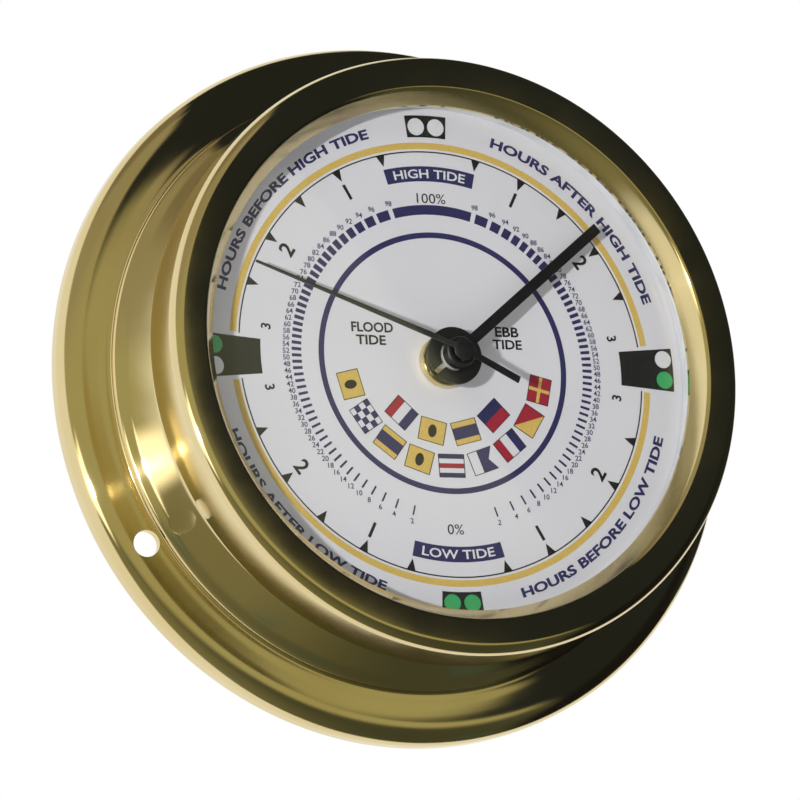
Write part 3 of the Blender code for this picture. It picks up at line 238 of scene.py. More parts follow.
def mineral_glass():
    """Clear window glass, domed: a faint sheen at the edge, and shadows pass through it."""
    made, tree, shader = start_material("domed_mineral_glass", linear("FBFDFC"), 0.0,
                                        {"IOR": 1.52, "Transmission Weight": 1.0})
    vary_roughness(tree, shader, noise(tree, 6 * MM, 4.0), 0.0, 0.015)
    clear = add_node(tree, "BsdfTransparent", {"Color": (0.96, 0.955, 0.96, 1)})
    path = add_node(tree, "LightPath").outputs
    lighting = add_node(tree, "Math", {0: path["Is Shadow Ray"], 1: path["Is Diffuse Ray"]},
                        operation="MAXIMUM")
    mixed = add_node(tree, "MixShader", {0: lighting, 1: shader, 2: clear})
    tree.links.new(mixed.outputs[0], tree.nodes["Material Output"].inputs["Surface"])
    return made


def moulded_plastic(name, code, roughness, grain=0.25 * MM, height=0.01 * MM):
    """Moulded ABS or nylon with the fine spark grain of its mould, which dulls its highlights."""
    base = linear(code)
    made, tree, shader = start_material(name, base, roughness, {"IOR": 1.54})
    spark = noise(tree, grain, 3.0, 0.6)
    blend_colours(tree, shader, noise(tree, 8 * MM, 3.0), tinted(base, 0.82), base)
    vary_roughness(tree, shader, spark, 0.85 * roughness, 1.15 * roughness)
    bump(tree, shader, spark, height, 0.5)
    return made


def worked_metal(name, code, roughness, grain=0.3 * MM, height=0.003 * MM):
    """Rolled, plated or sintered metal with small dents and duller patches."""
    base = linear(code)
    made, tree, shader = start_material(name, base, roughness, {"Metallic": 1.0})
    patches = noise(tree, 3 * MM, 3.0)
    blend_colours(tree, shader, patches, tinted(base, 0.8), base)
    vary_roughness(tree, shader, patches, 0.8 * roughness, 1.3 * roughness)
    bump(tree, shader, noise(tree, grain, 3.0), height, 0.5)
    return made


def hand_lacquer(colours):
    """Black lacquer sprayed on stamped metal: satin, with a fine mist of dust in it."""
    made, tree, shader = start_material("satin_black_lacquer", colours.black, 0.38)
    mist = noise(tree, 0.2 * MM, 3.0, 0.7)
    blend_colours(tree, shader, mist, colours.black, tinted(colours.black, 1.6), 0.45, 0.75)
    bump(tree, shader, mist, 0.004 * MM, 0.6)
    return made


def wound_copper():
    """Enamelled copper wire laid turn by turn along X, drawn coarser than the real wire."""
    made, tree, shader = start_material("enamelled_copper_wire", linear("B8623A"), 0.3,
                                        {"Metallic": 1.0})
    place = add_node(tree, "TexCoord").outputs["Object"]
    wire = 0.25 * MM
    turns = add_node(tree, "TexWave", {"Vector": place, "Scale": 1 / (20 * wire), "Distortion": 0.4},
                     bands_direction="X").outputs["Fac"]
    blend_colours(tree, shader, turns, linear("7A3A20"), linear("C87444"), 0.1, 0.9)
    bump(tree, shader, turns, 0.05 * MM)
    return made


# By short name: material name, colour, roughness, and where they differ, size and height of the grain.
PLASTICS = {
    "abs": ("black_moulded_abs", "1B1C1E", 0.42),
    "nylon": ("natural_moulded_nylon", "DEDDD2", 0.4),
    "spacer": ("white_moulded_abs", "E4E6E8", 0.45),
    "rubber": ("black_cut_rubber", "232323", 0.75, 0.5 * MM, 0.02 * MM),
    "board": ("green_glass_epoxy_board", "2F6B45", 0.35, 0.3 * MM),
    "wrapper": ("shrunk_pvc_cell_wrapper", "2C4E86", 0.3, 0.6 * MM, 0.004 * MM),
    "band": ("gold_printed_cell_band", "C79A4B", 0.3, 0.6 * MM, 0.004 * MM),
}
METALS = {
    "steel": ("nickel_plated_steel", "C9C8C4", 0.25),
    "iron": ("annealed_soft_iron", "8E8C88", 0.45),
    "magnet": ("sintered_ferrite", "4A4A4E", 0.6, 0.15 * MM, 0.01 * MM),
}
FINISH_NAMES = {}


def finishes():
    """Every material of the clock by a short name, made once."""
    if FINISH_NAMES:
        return {key: bpy.data.materials[name] for key, name in FINISH_NAMES.items()}
    colours = bpy.context.scene.tide_clock_colours
    made = {
        "brass": polished_brass("spun_polished_brass", colours),
        "turned": polished_brass("turned_polished_brass", colours, 0.16, 0.15 * MM, 4 * MM),
        "glass": mineral_glass(),
        "lacquer": dial_lacquer(colours),
        "hand": hand_lacquer(colours),
        "ink": printed_ink("black_screen_ink", colours.black),
        "white": printed_ink("white_screen_ink", linear("ECEDEE")),
        "copper": wound_copper(),
    }
    for ink in ("navy", "yellow", "red", "green"):
        made[ink] = printed_ink(f"{ink}_screen_ink", getattr(colours, ink))
    for make, table in ((moulded_plastic, PLASTICS), (worked_metal, METALS)):
        made.update({key: make(*values) for key, values in table.items()})
    FINISH_NAMES.update({key: material.name for key, material in made.items()})
    return made


def in_mm(points, radius=0.0, depth=0.0):
    """Section points from pairs in millimetres that are counted from a radius and a depth."""
    return [(radius + across * MM, depth + ahead * MM) for across, ahead in points]


def arc(centre, radius, start, end, steps):
    """Points of an arc in section, with angles in degrees."""
    points = []
    for index in range(steps + 1):
        angle = math.radians(start + (end - start) * index / steps)
        points.append((centre[0] + radius * math.cos(angle), centre[1] + radius * math.sin(angle)))
    return points


def eased(points, steps):
    """Smooth curve through the given points, from the first to the last."""
    padded = [points[0], *points, points[-1]]
    curve = [points[0]]
    for before, start, end, after in zip(padded, padded[1:], padded[2:], padded[3:]):
        for index in range(1, steps + 1):
            t = index / steps
            weights = (-t + 2 * t * t - t ** 3, 2 - 5 * t * t + 3 * t ** 3,
                       t + 4 * t * t - 3 * t ** 3, -t * t + t ** 3)
            corners = (before, start, end, after)
            curve.append(tuple(0.5 * sum(w * c[axis] for w, c in zip(weights, corners))
                               for axis in (0, 1)))
    return curve


def on_dial(radius, clock):
    """Point (x, z) at a radius and a clock angle."""
    angle = math.radians(clock)
    return radius * math.sin(angle), radius * math.cos(angle)


def spin(body, geometry, angle, steps, merge):
    """Spin geometry of a bmesh about the Y axis."""
    bmesh.ops.spin(body, geom=geometry, cent=(0, 0, 0), axis=(0, 1, 0), dvec=(0, 0, 0),
                   angle=angle, steps=steps, use_merge=merge, use_duplicate=False)
    if merge:
        bmesh.ops.remove_doubles(body, verts=body.verts, dist=0.0005 * MM)
    bmesh.ops.recalc_face_normals(body, faces=body.faces)
    return body


def turned(section, segments=FINE):
    """Turn a closed section about the Y axis; its points may lie on the axis."""
    body = bmesh.new()
    corners = [body.verts.new((radius, -depth, 0.0)) for radius, depth in section]
    edges = []
    for first, second in zip(corners, corners[1:] + corners[:1]):
        if first.co.x != 0.0 or second.co.x != 0.0:
            edges.append(body.edges.new((first, second)))
    return spin(body, corners + edges, 2 * math.pi, segments, True)


def sector(inner, outer, start, end, back, front, steps):
    """Solid piece of a flat ring between two clock angles."""
    body = bmesh.new()
    corners = []
    for radius, depth in ((inner, back), (outer, back), (outer, front), (inner, front)):
        x, z = on_dial(radius, start)
        corners.append(body.verts.new((x, -depth, z)))
    face = body.faces.new(corners)
    return spin(body, [face, *face.edges, *corners], math.radians(end - start), steps, False)


def thicken(body, way):
    """Extrude the flat faces of a bmesh to a closed plate."""
    grown = bmesh.ops.extrude_face_region(body, geom=list(body.faces))
    moved = [item for item in grown["geom"] if isinstance(item, bmesh.types.BMVert)]
    bmesh.ops.translate(body, verts=moved, vec=way)
    bmesh.ops.recalc_face_normals(body, faces=body.faces)
    return body


def extruded(outline, back, front):
    """Extrude an outline of (x, z) points from one depth to another."""
    body = bmesh.new()
    body.faces.new([body.verts.new((x, -back, z)) for x, z in outline])
    return thicken(body, (0, back - front, 0))


def circle(radius, segments, centre):
    """Outline of a circle."""
    return arc(centre, radius, 0.0, 360.0, segments)[:-1]


def as_mesh(name, body):
    """Move a bmesh into a new mesh."""
    mesh = bpy.data.meshes.new(name)
    body.to_mesh(mesh)
    body.free()
    return mesh


def take(mesh, target=None):
    """Move a mesh into a new bmesh, or add it to a given one."""
    body = bmesh.new() if target is None else target
    body.from_mesh(mesh)
    bpy.data.meshes.remove(mesh)
    return body


def join(target, body):
    """Add a bmesh to another and free it."""
    return take(as_mesh("holder", body), target)


def add_object(name, data):
    """Put an object into the scene."""
    made = bpy.data.objects.new(name, data)
    bpy.context.scene.collection.objects.link(made)
    return made


def evaluated(holder):
    """New bmesh of an object as its modifiers leave it."""
    view = bpy.context.evaluated_depsgraph_get()
    return take(bpy.data.meshes.new_from_object(holder.evaluated_get(view)))


def shift(body, x, y, z):
    """Move a bmesh."""
    bmesh.ops.translate(body, verts=body.verts, vec=(x, y, z))
    return body


def turn(body, angle, axis="Y"):
    """Turn a bmesh about an axis through the origin; about Y the angle is a clock angle."""
    bmesh.ops.rotate(body, verts=body.verts, cent=(0, 0, 0),
                     matrix=Matrix.Rotation(math.radians(angle), 3, axis))
    return body


def make_piece(name, body, finish, rides, stands_for=(), sharp=30.0):
    """Turn a bmesh into a piece with a finish that rides on a body and stands for CAD nodes."""
    mesh = as_mesh(name, body)
    mesh.shade_smooth()
    mesh.set_sharp_from_angle(angle=math.radians(sharp))
    mesh.materials.append(finishes()[finish])
    piece = add_object(name, mesh)
    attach(piece, rides)
    if stands_for:
        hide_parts(*stands_for)


def combined(first, second, operation):
    """Join a bmesh to another, or cut it out, and return the result as a bmesh."""
    holders = [add_object("holder", as_mesh("holder", body)) for body in (first, second)]
    modifier = holders[0].modifiers.new("combine", "BOOLEAN")
    modifier.operation = operation
    modifier.object = holders[1]
    modifier.solver = "EXACT"
    result = evaluated(holders[0])
    for holder in holders:
        bpy.data.meshes.remove(holder.data)
    return result


# Parts of the case's section in mm: the channel's points are radii and rises over the crest, and the
# others radii and depths.
CHANNEL = ((58.2, 0.05), (56.6, 0.19), (55.4, 0.36), (54.8, 0.43), (54.45, 0.51))
STEP_RISE = 0.66 * MM
STEP_CORNER = 1.2 * MM
CONE_FOOT = ((53.2, 8.99), (52.6, 9.27), (52.2, 9.51), (51.8, 9.84))
CONE_MIDDLE = ((50.5, 11.07),)
CONE_TOP = ((48.8, 12.68), (48.45, 13.08), (48.26, 13.5))
NECK_FOOT = 14.1 * MM
CONE_TILT = 43.5  # degrees between the cone's face and the plane of the dial
SPOT_RADIUS, SPOT_DEPTH = 50.9 * MM, 10.69 * MM  # place of the middle of a spot on the cone


def case_section(sizes):
    """Section of the spun case, from the foot of the rim round the outside and back."""
    bead, roll, sheet = sizes.bead_radius, sizes.rim_roll, sizes.sheet
    crest, step, neck = sizes.crest, sizes.step_radius, sizes.neck_radius
    rim = radius_of("case_shell")
    foot = rim - 0.7 * bead
    outside = [(foot, 0.0), *arc((rim - bead, sizes.bead_lift + bead), bead, -62, 0, 12)]
    tight = (rim - roll, crest - 0.18 * MM - roll)  # centre of the roll
    roll_end = 70  # degrees: where the roll opens into a wider curve
    outside += arc(tight, roll, 0, roll_end, 22)
    wide = 6 * MM
    spread = roll - wide
    angle = math.radians(roll_end)
    open_centre = (tight[0] + spread * math.cos(angle), tight[1] + spread * math.sin(angle))
    outside += arc(open_centre, wide, roll_end, 87.5, 8)[1:]
    ledge = crest + STEP_RISE
    outside += eased([outside[-1], *in_mm(CHANNEL, 0.0, crest), (step, ledge)], 5)[1:]
    outside += arc((step - STEP_CORNER, ledge), STEP_CORNER, 0, 63, 12)[1:]
    outside += eased([outside[-1], *in_mm(CONE_FOOT)], 5)[1:]
    outside += in_mm(CONE_MIDDLE) + eased([*in_mm(CONE_TOP), (neck, NECK_FOOT)], 5)
    end = back_of("dial_plate") - 0.2 * MM
    bore, wall, under = neck - sheet, step - sheet, crest - sheet
    ring = foot - 1.5 * MM
    inside = [(bore, end), *in_mm(((0, 13.6), (0.8, 12.0)), bore), *in_mm(((-0.2, 7.4), (0, 7.0)), wall),
              (wall + 0.2 * MM, under), *in_mm(((-0.9, 0), (0, -0.4)), ring, under), (ring, 0.0)]
    return outside + [(neck, end)] + inside


def dish_section(radius):
    """Section of the ball-nosed punch that leaves a dish of a given radius at depth 0."""
    nose = 28.0 * MM
    sink = nose - math.sqrt(nose * nose - radius * radius)
    reach = math.degrees(math.asin(1.06 * radius / nose))
    dome = arc((0.0, nose - sink), nose, -90 + reach, -90, 10)
    dome[-1] = (0.0, -sink)
    return [(0.0, 2 * MM), (dome[0][0], 2 * MM)] + dome


class TIDE_CLOCK_OT_case(bpy.types.Operator):
    """Make the spun brass case with its screw holes and shallow spots"""
    bl_idname = "tide_clock.case"
    bl_label = "Case"

    def execute(self, context):
        sizes = context.scene.tide_clock_sizes
        case = turned(case_section(sizes))
        cutters = bmesh.new()
        for index in range(3):
            outline = circle(sizes.screw_hole / 2, 48, (sizes.screw_circle, 0.0))
            hole = extruded(outline, 0.5 * MM, 9 * MM)
            spot = turn(turned(dish_section(sizes.spot / 2), 48), CONE_TILT, "Z")
            for cutter in (hole, shift(spot, SPOT_RADIUS, -SPOT_DEPTH, 0)):
                join(cutters, turn(cutter, 120 * index - 90))
        case = combined(case, cutters, "DIFFERENCE")
        make_piece("case", case, "brass", "case", ["case_shell"], 28)
        return {"FINISHED"}


class TIDE_CLOCK_OT_bezel(bpy.types.Operator):
    """Make the turned brass bezel that holds the glass"""
    bl_idname = "tide_clock.bezel"
    bl_label = "Bezel"

    def execute(self, context):
        sizes = context.scene.tide_clock_sizes
        bore = sizes.neck_radius + 0.3 * MM
        outer = radius_of("bezel_ring")
        top = front_of("bezel_ring")
        bottom = back_of("bezel_ring")
        lip = sizes.lip_radius
        under = front_of("glass_gasket") + 0.2 * MM
        round_edge = sizes.shoulder
        section = [(bore, bottom)]
        section += arc((outer - 0.45 * MM, bottom + 0.25 * MM), 0.25 * MM, -90, 0, 5)
        section += [(outer - 0.1 * MM, bottom + 4 * MM), (outer, top - round_edge - 0.6 * MM)]
        section += arc((outer - round_edge, top - round_edge), round_edge, 0, 90, 20)
        slope = ((2.65, -0.004), (2.35, -0.05), (2.0, -0.3), (1.55, -0.9))
        section += eased(in_mm(slope, lip, top), 4)
        section += [*in_mm(((0.1, 0.84), (0, 0.68), (0, 0)), lip, under), (bore, under)]
        make_piece("bezel", turned(section), "brass", "bezel", ["bezel_ring"], 32)
        return {"FINISHED"}


class TIDE_CLOCK_OT_glass(bpy.types.Operator):
    """Make the domed glass"""
    bl_idname = "tide_clock.glass"
    bl_label = "Glass"

    def execute(self, context):
        chord = context.scene.tide_clock_sizes.lip_radius - 0.25 * MM
        back = back_of("glass_lens")
        apex = front_of("glass_lens")
        thick = 1.4 * MM
        rise = apex - thick - back
        radius = (chord * chord + rise * rise) / (2 * rise)
        edge = math.degrees(math.asin(chord / radius))
        inner = arc((0.0, back + rise - radius), radius, 90 - edge, 90, 28)
        inner[-1] = (0.0, back + rise)
        outer = [(x, depth + thick) for x, depth in inner]
        seat = radius_of("glass_lens")
        section = [(seat, back), (seat, back + thick)] + outer + inner[::-1]
        make_piece("glass", turned(section, 192), "glass", "bezel", ["glass_lens"], 40)
        return {"FINISHED"}


def lettering(words, height, bold, width, back, front):
    """Solid letters centred on x = z = 0 between two depths; a width of 0 leaves them their own."""
    curve = bpy.data.curves.new("letters", "FONT")
    curve.body = words
    curve.align_x = "CENTER"
    curve.offset = bold
    curve.resolution_u = 3
    curve.extrude = 0.5
    holder = add_object("letters", curve)
    body = evaluated(holder)
    bpy.data.objects.remove(holder)
    bpy.data.curves.remove(curve)
    bmesh.ops.remove_doubles(body, verts=body.verts, dist=0.0005)
    rows = zip(*(vert.co.xy for vert in body.verts))
    (left, right), (low, high) = ((min(row), max(row)) for row in rows)
    up = height / (high - low)
    across = width / (right - left) if width else up
    shift(body, -(left + right) / 2, -(low + high) / 2, 0)
    bmesh.ops.scale(body, verts=body.verts, vec=(across, up, 1.0))
    turn(body, 90, "X")
    for vert in body.verts:
        vert.co.y = -(back + front) / 2 + vert.co.y * (front - back)
    return body


def bend(body, radius, clock, inward):
    """Bend letters on an arc about the middle of the dial."""
    side = -1 if inward else 1
    for vert in body.verts:
        angle = math.radians(clock) + side * vert.co.x / radius
        reach = radius + side * vert.co.z
        vert.co.x = reach * math.sin(angle)
        vert.co.z = reach * math.cos(angle)
    return body


class Print:
    """Inks of the dial, each one bmesh; sizes are in dial units, and layer 1 lies on layer 0."""

    def __init__(self, plate, thickness):
        top = plate + thickness
        self.layers = ((plate, top), (top, plate + 1.5 * thickness))
        self.inks = {}

    def add(self, ink, body):
        join(self.inks.setdefault(ink, bmesh.new()), body)

    def shape(self, ink, outline, layer=0):
        points = [(x * UNIT, z * UNIT) for x, z in outline]
        self.add(ink, extruded(points, *self.layers[layer]))

    def sector(self, ink, inner, outer, start, end):
        steps = max(1, round((end - start) / 1.5))
        self.add(ink, sector(inner * UNIT, outer * UNIT, start, end, *self.layers[0], steps))

    def ring(self, ink, inner, outer):
        back, front = self.layers[0]
        section = [(inner * UNIT, back), (outer * UNIT, back), (outer * UNIT, front),
                   (inner * UNIT, front)]
        self.add(ink, turned(section))

    def words(self, ink, words, height, centre, bold=0.0, width=0.0):
        body = lettering(words, height * UNIT, bold, width * UNIT, *self.layers[0])
        self.add(ink, shift(body, centre[0] * UNIT, 0, centre[1] * UNIT))

    def arc_words(self, ink, words, height, radius, clock, inward, bold, layer=0, span=0.0):
        width = math.radians(span) * radius * UNIT
        body = lettering(words, height * UNIT, bold, width, *self.layers[layer])
        self.add(ink, bend(body, radius * UNIT, clock, inward))


def print_percent_scale(dial):
    """Blocks that narrow from high water to low water, with their numbers."""
    inner, outer = 0.68, 0.725
    dial.ring("navy", 0.572, 0.598)
    dial.sector("navy", inner, outer, -15.5, 15.5)
    for percent in range(96, 0, -2):
        share = percent / 100
        angle = math.degrees(math.acos(2 * share - 1))
        interval = angle - math.degrees(math.acos(2 * share - 0.96))
        width = 0.75 * share * interval + 0.5 * (1 - share)
        middle = angle - 0.5 * width - 0.9 * share + 0.25 * (1 - share)
        for side in (-1, 1):
            edges = sorted((side * (middle - width / 2), side * (middle + width / 2)))
            dial.sector("navy", inner, outer, *edges)
    for percent in range(98, 0, -2):
        angle = math.degrees(math.acos(percent / 50 - 1))
        for side in (-1, 1):
            dial.words("navy", str(percent), 0.024, on_dial(0.752, side * angle), 0.012)
    dial.words("ink", "100%", 0.046, (0.0, 0.755), width=0.14)
    dial.words("ink", "0%", 0.046, (-0.005, -0.757), width=0.078)


HOUR_DIGITS = (  # digit, clock angle from high or low tide, radius, height
    ("1", 27.8, 0.866, 0.073),
    ("2", 55.6, 0.866, 0.073),
    ("3", 80.7, 0.85, 0.047),
)
HOUR_WORDS = (  # words, clock angle, whether their tops face the middle, angle that they span
    ("HOURS BEFORE HIGH TIDE", -44.7, False, 58.7),
    ("HOURS AFTER HIGH TIDE", 45.2, False, 56.4),
    ("HOURS AFTER LOW TIDE", -134.3, True, 52.8),
    ("HOURS BEFORE LOW TIDE", 135.6, True, 57.5),
)
STREAM_WORDS = (  # words, height, place, width
    ("FLOOD", 0.046, (-0.333, 0.150), 0.2),
    ("TIDE", 0.044, (-0.343, 0.092), 0.142),
    ("EBB", 0.046, (0.32, 0.150), 0.115),
    ("TIDE", 0.044, (0.318, 0.092), 0.142),
)


def print_hour_scale(dial):
    """Hours before and after high and low tide."""
    for start, end in ((-84, 84), (96, 264)):
        dial.sector("ink", 0.969, 0.975, start, end)
        dial.sector("yellow", 0.985, 1.015, start + 0.2, end - 0.2)
    for middle, words in ((0, "HIGH TIDE"), (180, "LOW TIDE")):
        inward = middle == 180
        for side in (-1, 1):
            for count in range(1, 6):
                clock = middle + side * 13.9 * count
                dial.shape("ink", [on_dial(0.971, clock - 1.25), on_dial(0.971, clock + 1.25),
                                   on_dial(0.918, clock + 0.1)])
            for digit, clock, radius, height in HOUR_DIGITS:
                dial.arc_words("ink", digit, height, radius, middle + side * clock, inward, 0.022)
        dial.sector("navy", 0.835, 0.905, middle - 14.2, middle + 14.2)
        dial.arc_words("white", words, 0.042, 0.87, middle, inward, 0.015, 1, 23.0)
    for words, clock, inward, span in HOUR_WORDS:
        dial.arc_words("navy", words, 0.047, 1.080, clock, inward, 0.036, span=span)
    for words, height, place, width in STREAM_WORDS:
        dial.words("ink", words, height, place, 0.024, width)


LIGHT_BOXES = (  # clock angle, inner radius, outer radius, inks of the two lights
    (0, 1.04, 1.142, ("white", "white")),
    (90, 0.872, 1.135, ("white", "green")),
    (180, 1.038, 1.14, ("green", "green")),
    (270, 0.872, 1.135, ("white", "green")),
)


def print_light_boxes(dial):
    """Pairs of lights that show the state of the tide."""
    for clock, inner, outer, lights in LIGHT_BOXES:
        dial.sector("ink", inner, outer, clock - 5.1, clock + 5.1)
        x, z = on_dial(1.088, clock)
        ahead = on_dial(0.048, clock + 90)
        for side, ink in zip((-1, 1), lights):
            dial.shape(ink, circle(0.04, 32, (x + side * ahead[0], z + side * ahead[1])), 1)


FLAG_WIDTH = 0.126
FLAG_HEIGHT = 0.107
FLAG_EDGE = 0.03


def field(left=0, right=1, bottom=0, top=1):
    """Corners of an upright rectangle in a flag that is 1 wide and 1 high."""
    return (left, bottom), (right, bottom), (right, top), (left, top)


# Flags of the international code: the ink and the corners of each field, and of what lies on it.
FLAGS = {
    "I": [("yellow", field())],
    "N": [("navy", field(column / 4, (column + 1) / 4, row / 4, (row + 1) / 4))
          for row in range(4) for column in range(4) if (row + column) % 2],
    "D": [("yellow", field(top=0.25)), ("navy", field(bottom=0.25, top=0.75)),
          ("yellow", field(bottom=0.75))],
    "C": [("navy", field(top=0.2)), ("red", field(bottom=0.4, top=0.6)), ("navy", field(bottom=0.8))],
    "A": [("navy", ((0.42, 0), (1, 0), (0.74, 0.5), (1, 1), (0.42, 1)))],
    "T": [("red", field(right=0.333)), ("navy", field(left=0.667))],
    "O": [("red", ((0, 1), (1, 0), (1, 1))), ("yellow", ((0, 1), (0, 0), (1, 0)))],
    "R": [("red", field())],
    "E": [("red", field(top=0.5)), ("navy", field(bottom=0.5))],
}
RAISED_FIELDS = {
    "I": [("ink", [(0.5 + 0.16 * math.cos(t * math.pi / 12), 0.5 + 0.28 * math.sin(t * math.pi / 12))
                   for t in range(24)])],
    "R": [("yellow", field(0.44, 0.56)), ("yellow", field(0, 0.44, 0.43, 0.57)),
          ("yellow", field(0.56, 1, 0.43, 0.57))],
}


def print_flag(dial, letter, radius, angle):
    """One flag with its black edge, its top towards the middle of the dial."""
    c, s = math.cos(math.radians(angle)), math.sin(math.radians(angle))

    def place(ink, points, layer):
        spots = []
        for u, v in points:
            across, up = FLAG_WIDTH * (u - 0.5), FLAG_HEIGHT * (v - 0.5)
            spots.append(((radius - up) * c - across * s, (radius - up) * s + across * c))
        dial.shape(ink, spots, layer)

    for layer, fields in enumerate((FLAGS[letter], RAISED_FIELDS.get(letter, ()))):
        for ink, corners in fields:
            place(ink, corners, layer)
    edge = field(right=0.42) if letter == "A" else field()
    middle = [sum(corner[axis] for corner in edge) / len(edge) for axis in (0, 1)]
    for first, second in zip(edge, edge[1:] + edge[:1]):
        inner = [tuple(value + math.copysign(FLAG_EDGE, centre - value)
                       for value, centre in zip(corner, middle)) for corner in (second, first)]
        place("ink", [first, second, *inner], 1)


class TIDE_CLOCK_OT_dial(bpy.types.Operator):
    """Print the dial, one piece for each ink, and make its spacer ring"""
    bl_idname = "tide_clock.dial"
    bl_label = "Dial"

    def execute(self, context):
        dial = Print(front_of("dial_plate"), context.scene.tide_clock_sizes.ink)
        print_percent_scale(dial)
        print_hour_scale(dial)
        print_light_boxes(dial)
        for word, radius, step in (("INDICATOR", 0.470, 19.0), ("TIDE", 0.324, 28.9)):
            for index, letter in enumerate(word):
                print_flag(dial, letter, radius, 270 + step * (index - (len(word) - 1) / 2))
        for ink, body in dial.inks.items():
            make_piece(f"print_{ink}", body, ink, "case", sharp=20)
        outer, back, front = radius_of("dial_spacer"), back_of("dial_spacer"), front_of("dial_spacer")
        section = in_mm(((-2.6, 0.2), (-2.4, 0), (0, 0)), outer, back)
        section += in_mm(((0, 0), (-2.3, 0), (-2.6, -0.3)), outer, front)
        make_piece("spacer", turned(section), "spacer", "case", ["dial_spacer"])
        return {"FINISHED"}


def turned_ring(inner, outer, back, front, edge):
    """Ring with small round edges in front."""
    section = [(inner, back), (outer, back)]
    section += arc((outer - edge, front - edge), edge, 0, 90, 4)
    section += arc((inner + edge, front - edge), edge, 90, 180, 4)
    return turned(section, SMALL)


class TIDE_CLOCK_OT_centre(bpy.types.Operator):
    """Make the nut in the middle of the dial and the cap nut of the tide hand"""
    bl_idname = "tide_clock.centre"
    bl_label = "Centre"

    def execute(self, context):
        for name, node, bore, edge, finish, rides, slot in (
                ("round_nut", "centre_nut", 3.75, 0.35, "turned", "case", "turned_brass"),
                ("black_cap_nut", "cap_nut", 1.65, 0.45, "hand", "minute_set", "black_plastic")):
            ring = turned_ring(bore * MM, radius_of(node), back_of(node), front_of(node), edge * MM)
            make_piece(name, ring, finish, rides, [node])
        return {"FINISHED"}


def arm(start, end, start_width, end_width, thickness, top, fall):
    """Flat tapering arm along +Z whose front starts at a depth and falls by a slope."""
    body = bmesh.new()
    bmesh.ops.create_cube(body, size=1.0)
    for corner in body.verts:
        far = corner.co.z > 0
        reach = end if far else start
        width = end_width if far else start_width
        front = top - fall * (reach - start)
        layer = front if corner.co.y < 0 else front - thickness
        corner.co = Vector((math.copysign(width / 2, corner.co.x), -layer, reach))
    bmesh.ops.bevel(body, geom=list(body.edges), offset=0.06 * MM, segments=2, profile=0.5,
                    affect="EDGES", material=-1, offset_type="OFFSET", clamp_overlap=True)
    return body


TIDE_CLOCK_ANGLE = 50.9  # clock angles of the hands in the photograph
SECONDS_CLOCK_ANGLE = 294.1


class TIDE_CLOCK_OT_hands(bpy.types.Operator):
    """Make the tide hand and the seconds hand"""
    bl_idname = "tide_clock.hands"
    bl_label = "Hands"

    def execute(self, context):
        front = front_of("tide_hand")
        thick = 0.5 * MM
        back = front - thick
        boss = 5.05 * MM
        bore = 2.75 * MM
        section = in_mm(((2.75, -1), (3.45, -1), (3.45, 0)), 0.0, back)
        section += in_mm(((-0.08, 0), (0, 0.08)), boss, back)
        section += in_mm(((0, -0.12), (-0.04, -0.04), (-0.12, 0)), boss, front)
        section += in_mm(((0.05, 0), (0, -0.05)), bore, front)
        hand = turned(section, SMALL)
        long_arm = arm(boss - 0.7 * MM, 38.8 * MM, 1.9 * MM, 1.9 * MM, thick, front, 0.058)
        slit = extruded(in_mm(((-0.45, -6), (0.45, -6), (0.45, -1.4), (-0.45, -1.4))),
                        back - 2 * MM, front + 1 * MM)
        for shape, operation in ((long_arm, "UNION"), (slit, "DIFFERENCE")):
            hand = combined(hand, turn(shape, TIDE_CLOCK_ANGLE), operation)
        make_piece("hand_tide", hand, "hand", "tide_set", ["tide_hand"])
        rest = front_of("seconds_hand") - 0.4 * MM
        sweep = turned(in_mm(((0.75, -0.5), (1.15, -0.5), (1.15, 0), (1.8, 0), (1.9, 0.1), (1.88, 0.2),
                              (1.75, 0.28), (1.0, 0.33), (0.4, 0.39), (0, 0.4), (0, -0.3),
                              (0.75, -0.3)), 0.0, rest), SMALL)
        for length, width, clock in ((38.2, 0.45, 0), (11.5, 1.25, 180)):
            shape = arm(1.2 * MM, length * MM, 1.1 * MM, width * MM, 0.3 * MM, rest + 0.33 * MM, 0.14)
            sweep = combined(sweep, turn(turn(shape, clock), SECONDS_CLOCK_ANGLE), "UNION")
        make_piece("hand_seconds", sweep, "hand", "seconds_set", ["seconds_hand"])
        return {"FINISHED"}


NODE_FINISHES = {
    "abs": ["movement_housing", "movement_cover", "train_plate", "setting_knob", "chip_cover"],
    "rubber": ["rubber_washer", "glass_gasket"],
    "lacquer": ["dial_plate"],
    "turned": ["centre_bush", "minute_tube"],
    "nylon": ["tide_tube", "minute_wheel", "motion_wheel", "third_wheel", "step_wheel",
              "seconds_wheel", "coil_bobbin", "rotor_pinion"],
    "steel": ["plate_screw_1", "plate_screw_2", "contact_positive", "contact_negative",
              "crystal_can"],
    "magnet": ["rotor_magnet"],
    "iron": ["stator_plate", "coil_core"],
    "copper": ["coil_winding"],
    "board": ["circuit_board"],
}


def lying(body, place):
    """Lay a turned bmesh along +X, with its depth counted along X and its axis through a place."""
    return shift(turn(body, 90, "Z"), 0, place.y, place.z)


def sleeve(radius, start, end):
    """Thin tube with rolled edges."""
    wall = 0.11 * MM
    section = [(radius - wall, start), (radius - 0.3 * wall, start), (radius, start + wall),
               (radius, end - wall), (radius - 0.3 * wall, end), (radius - wall, end)]
    return turned(section, 96)


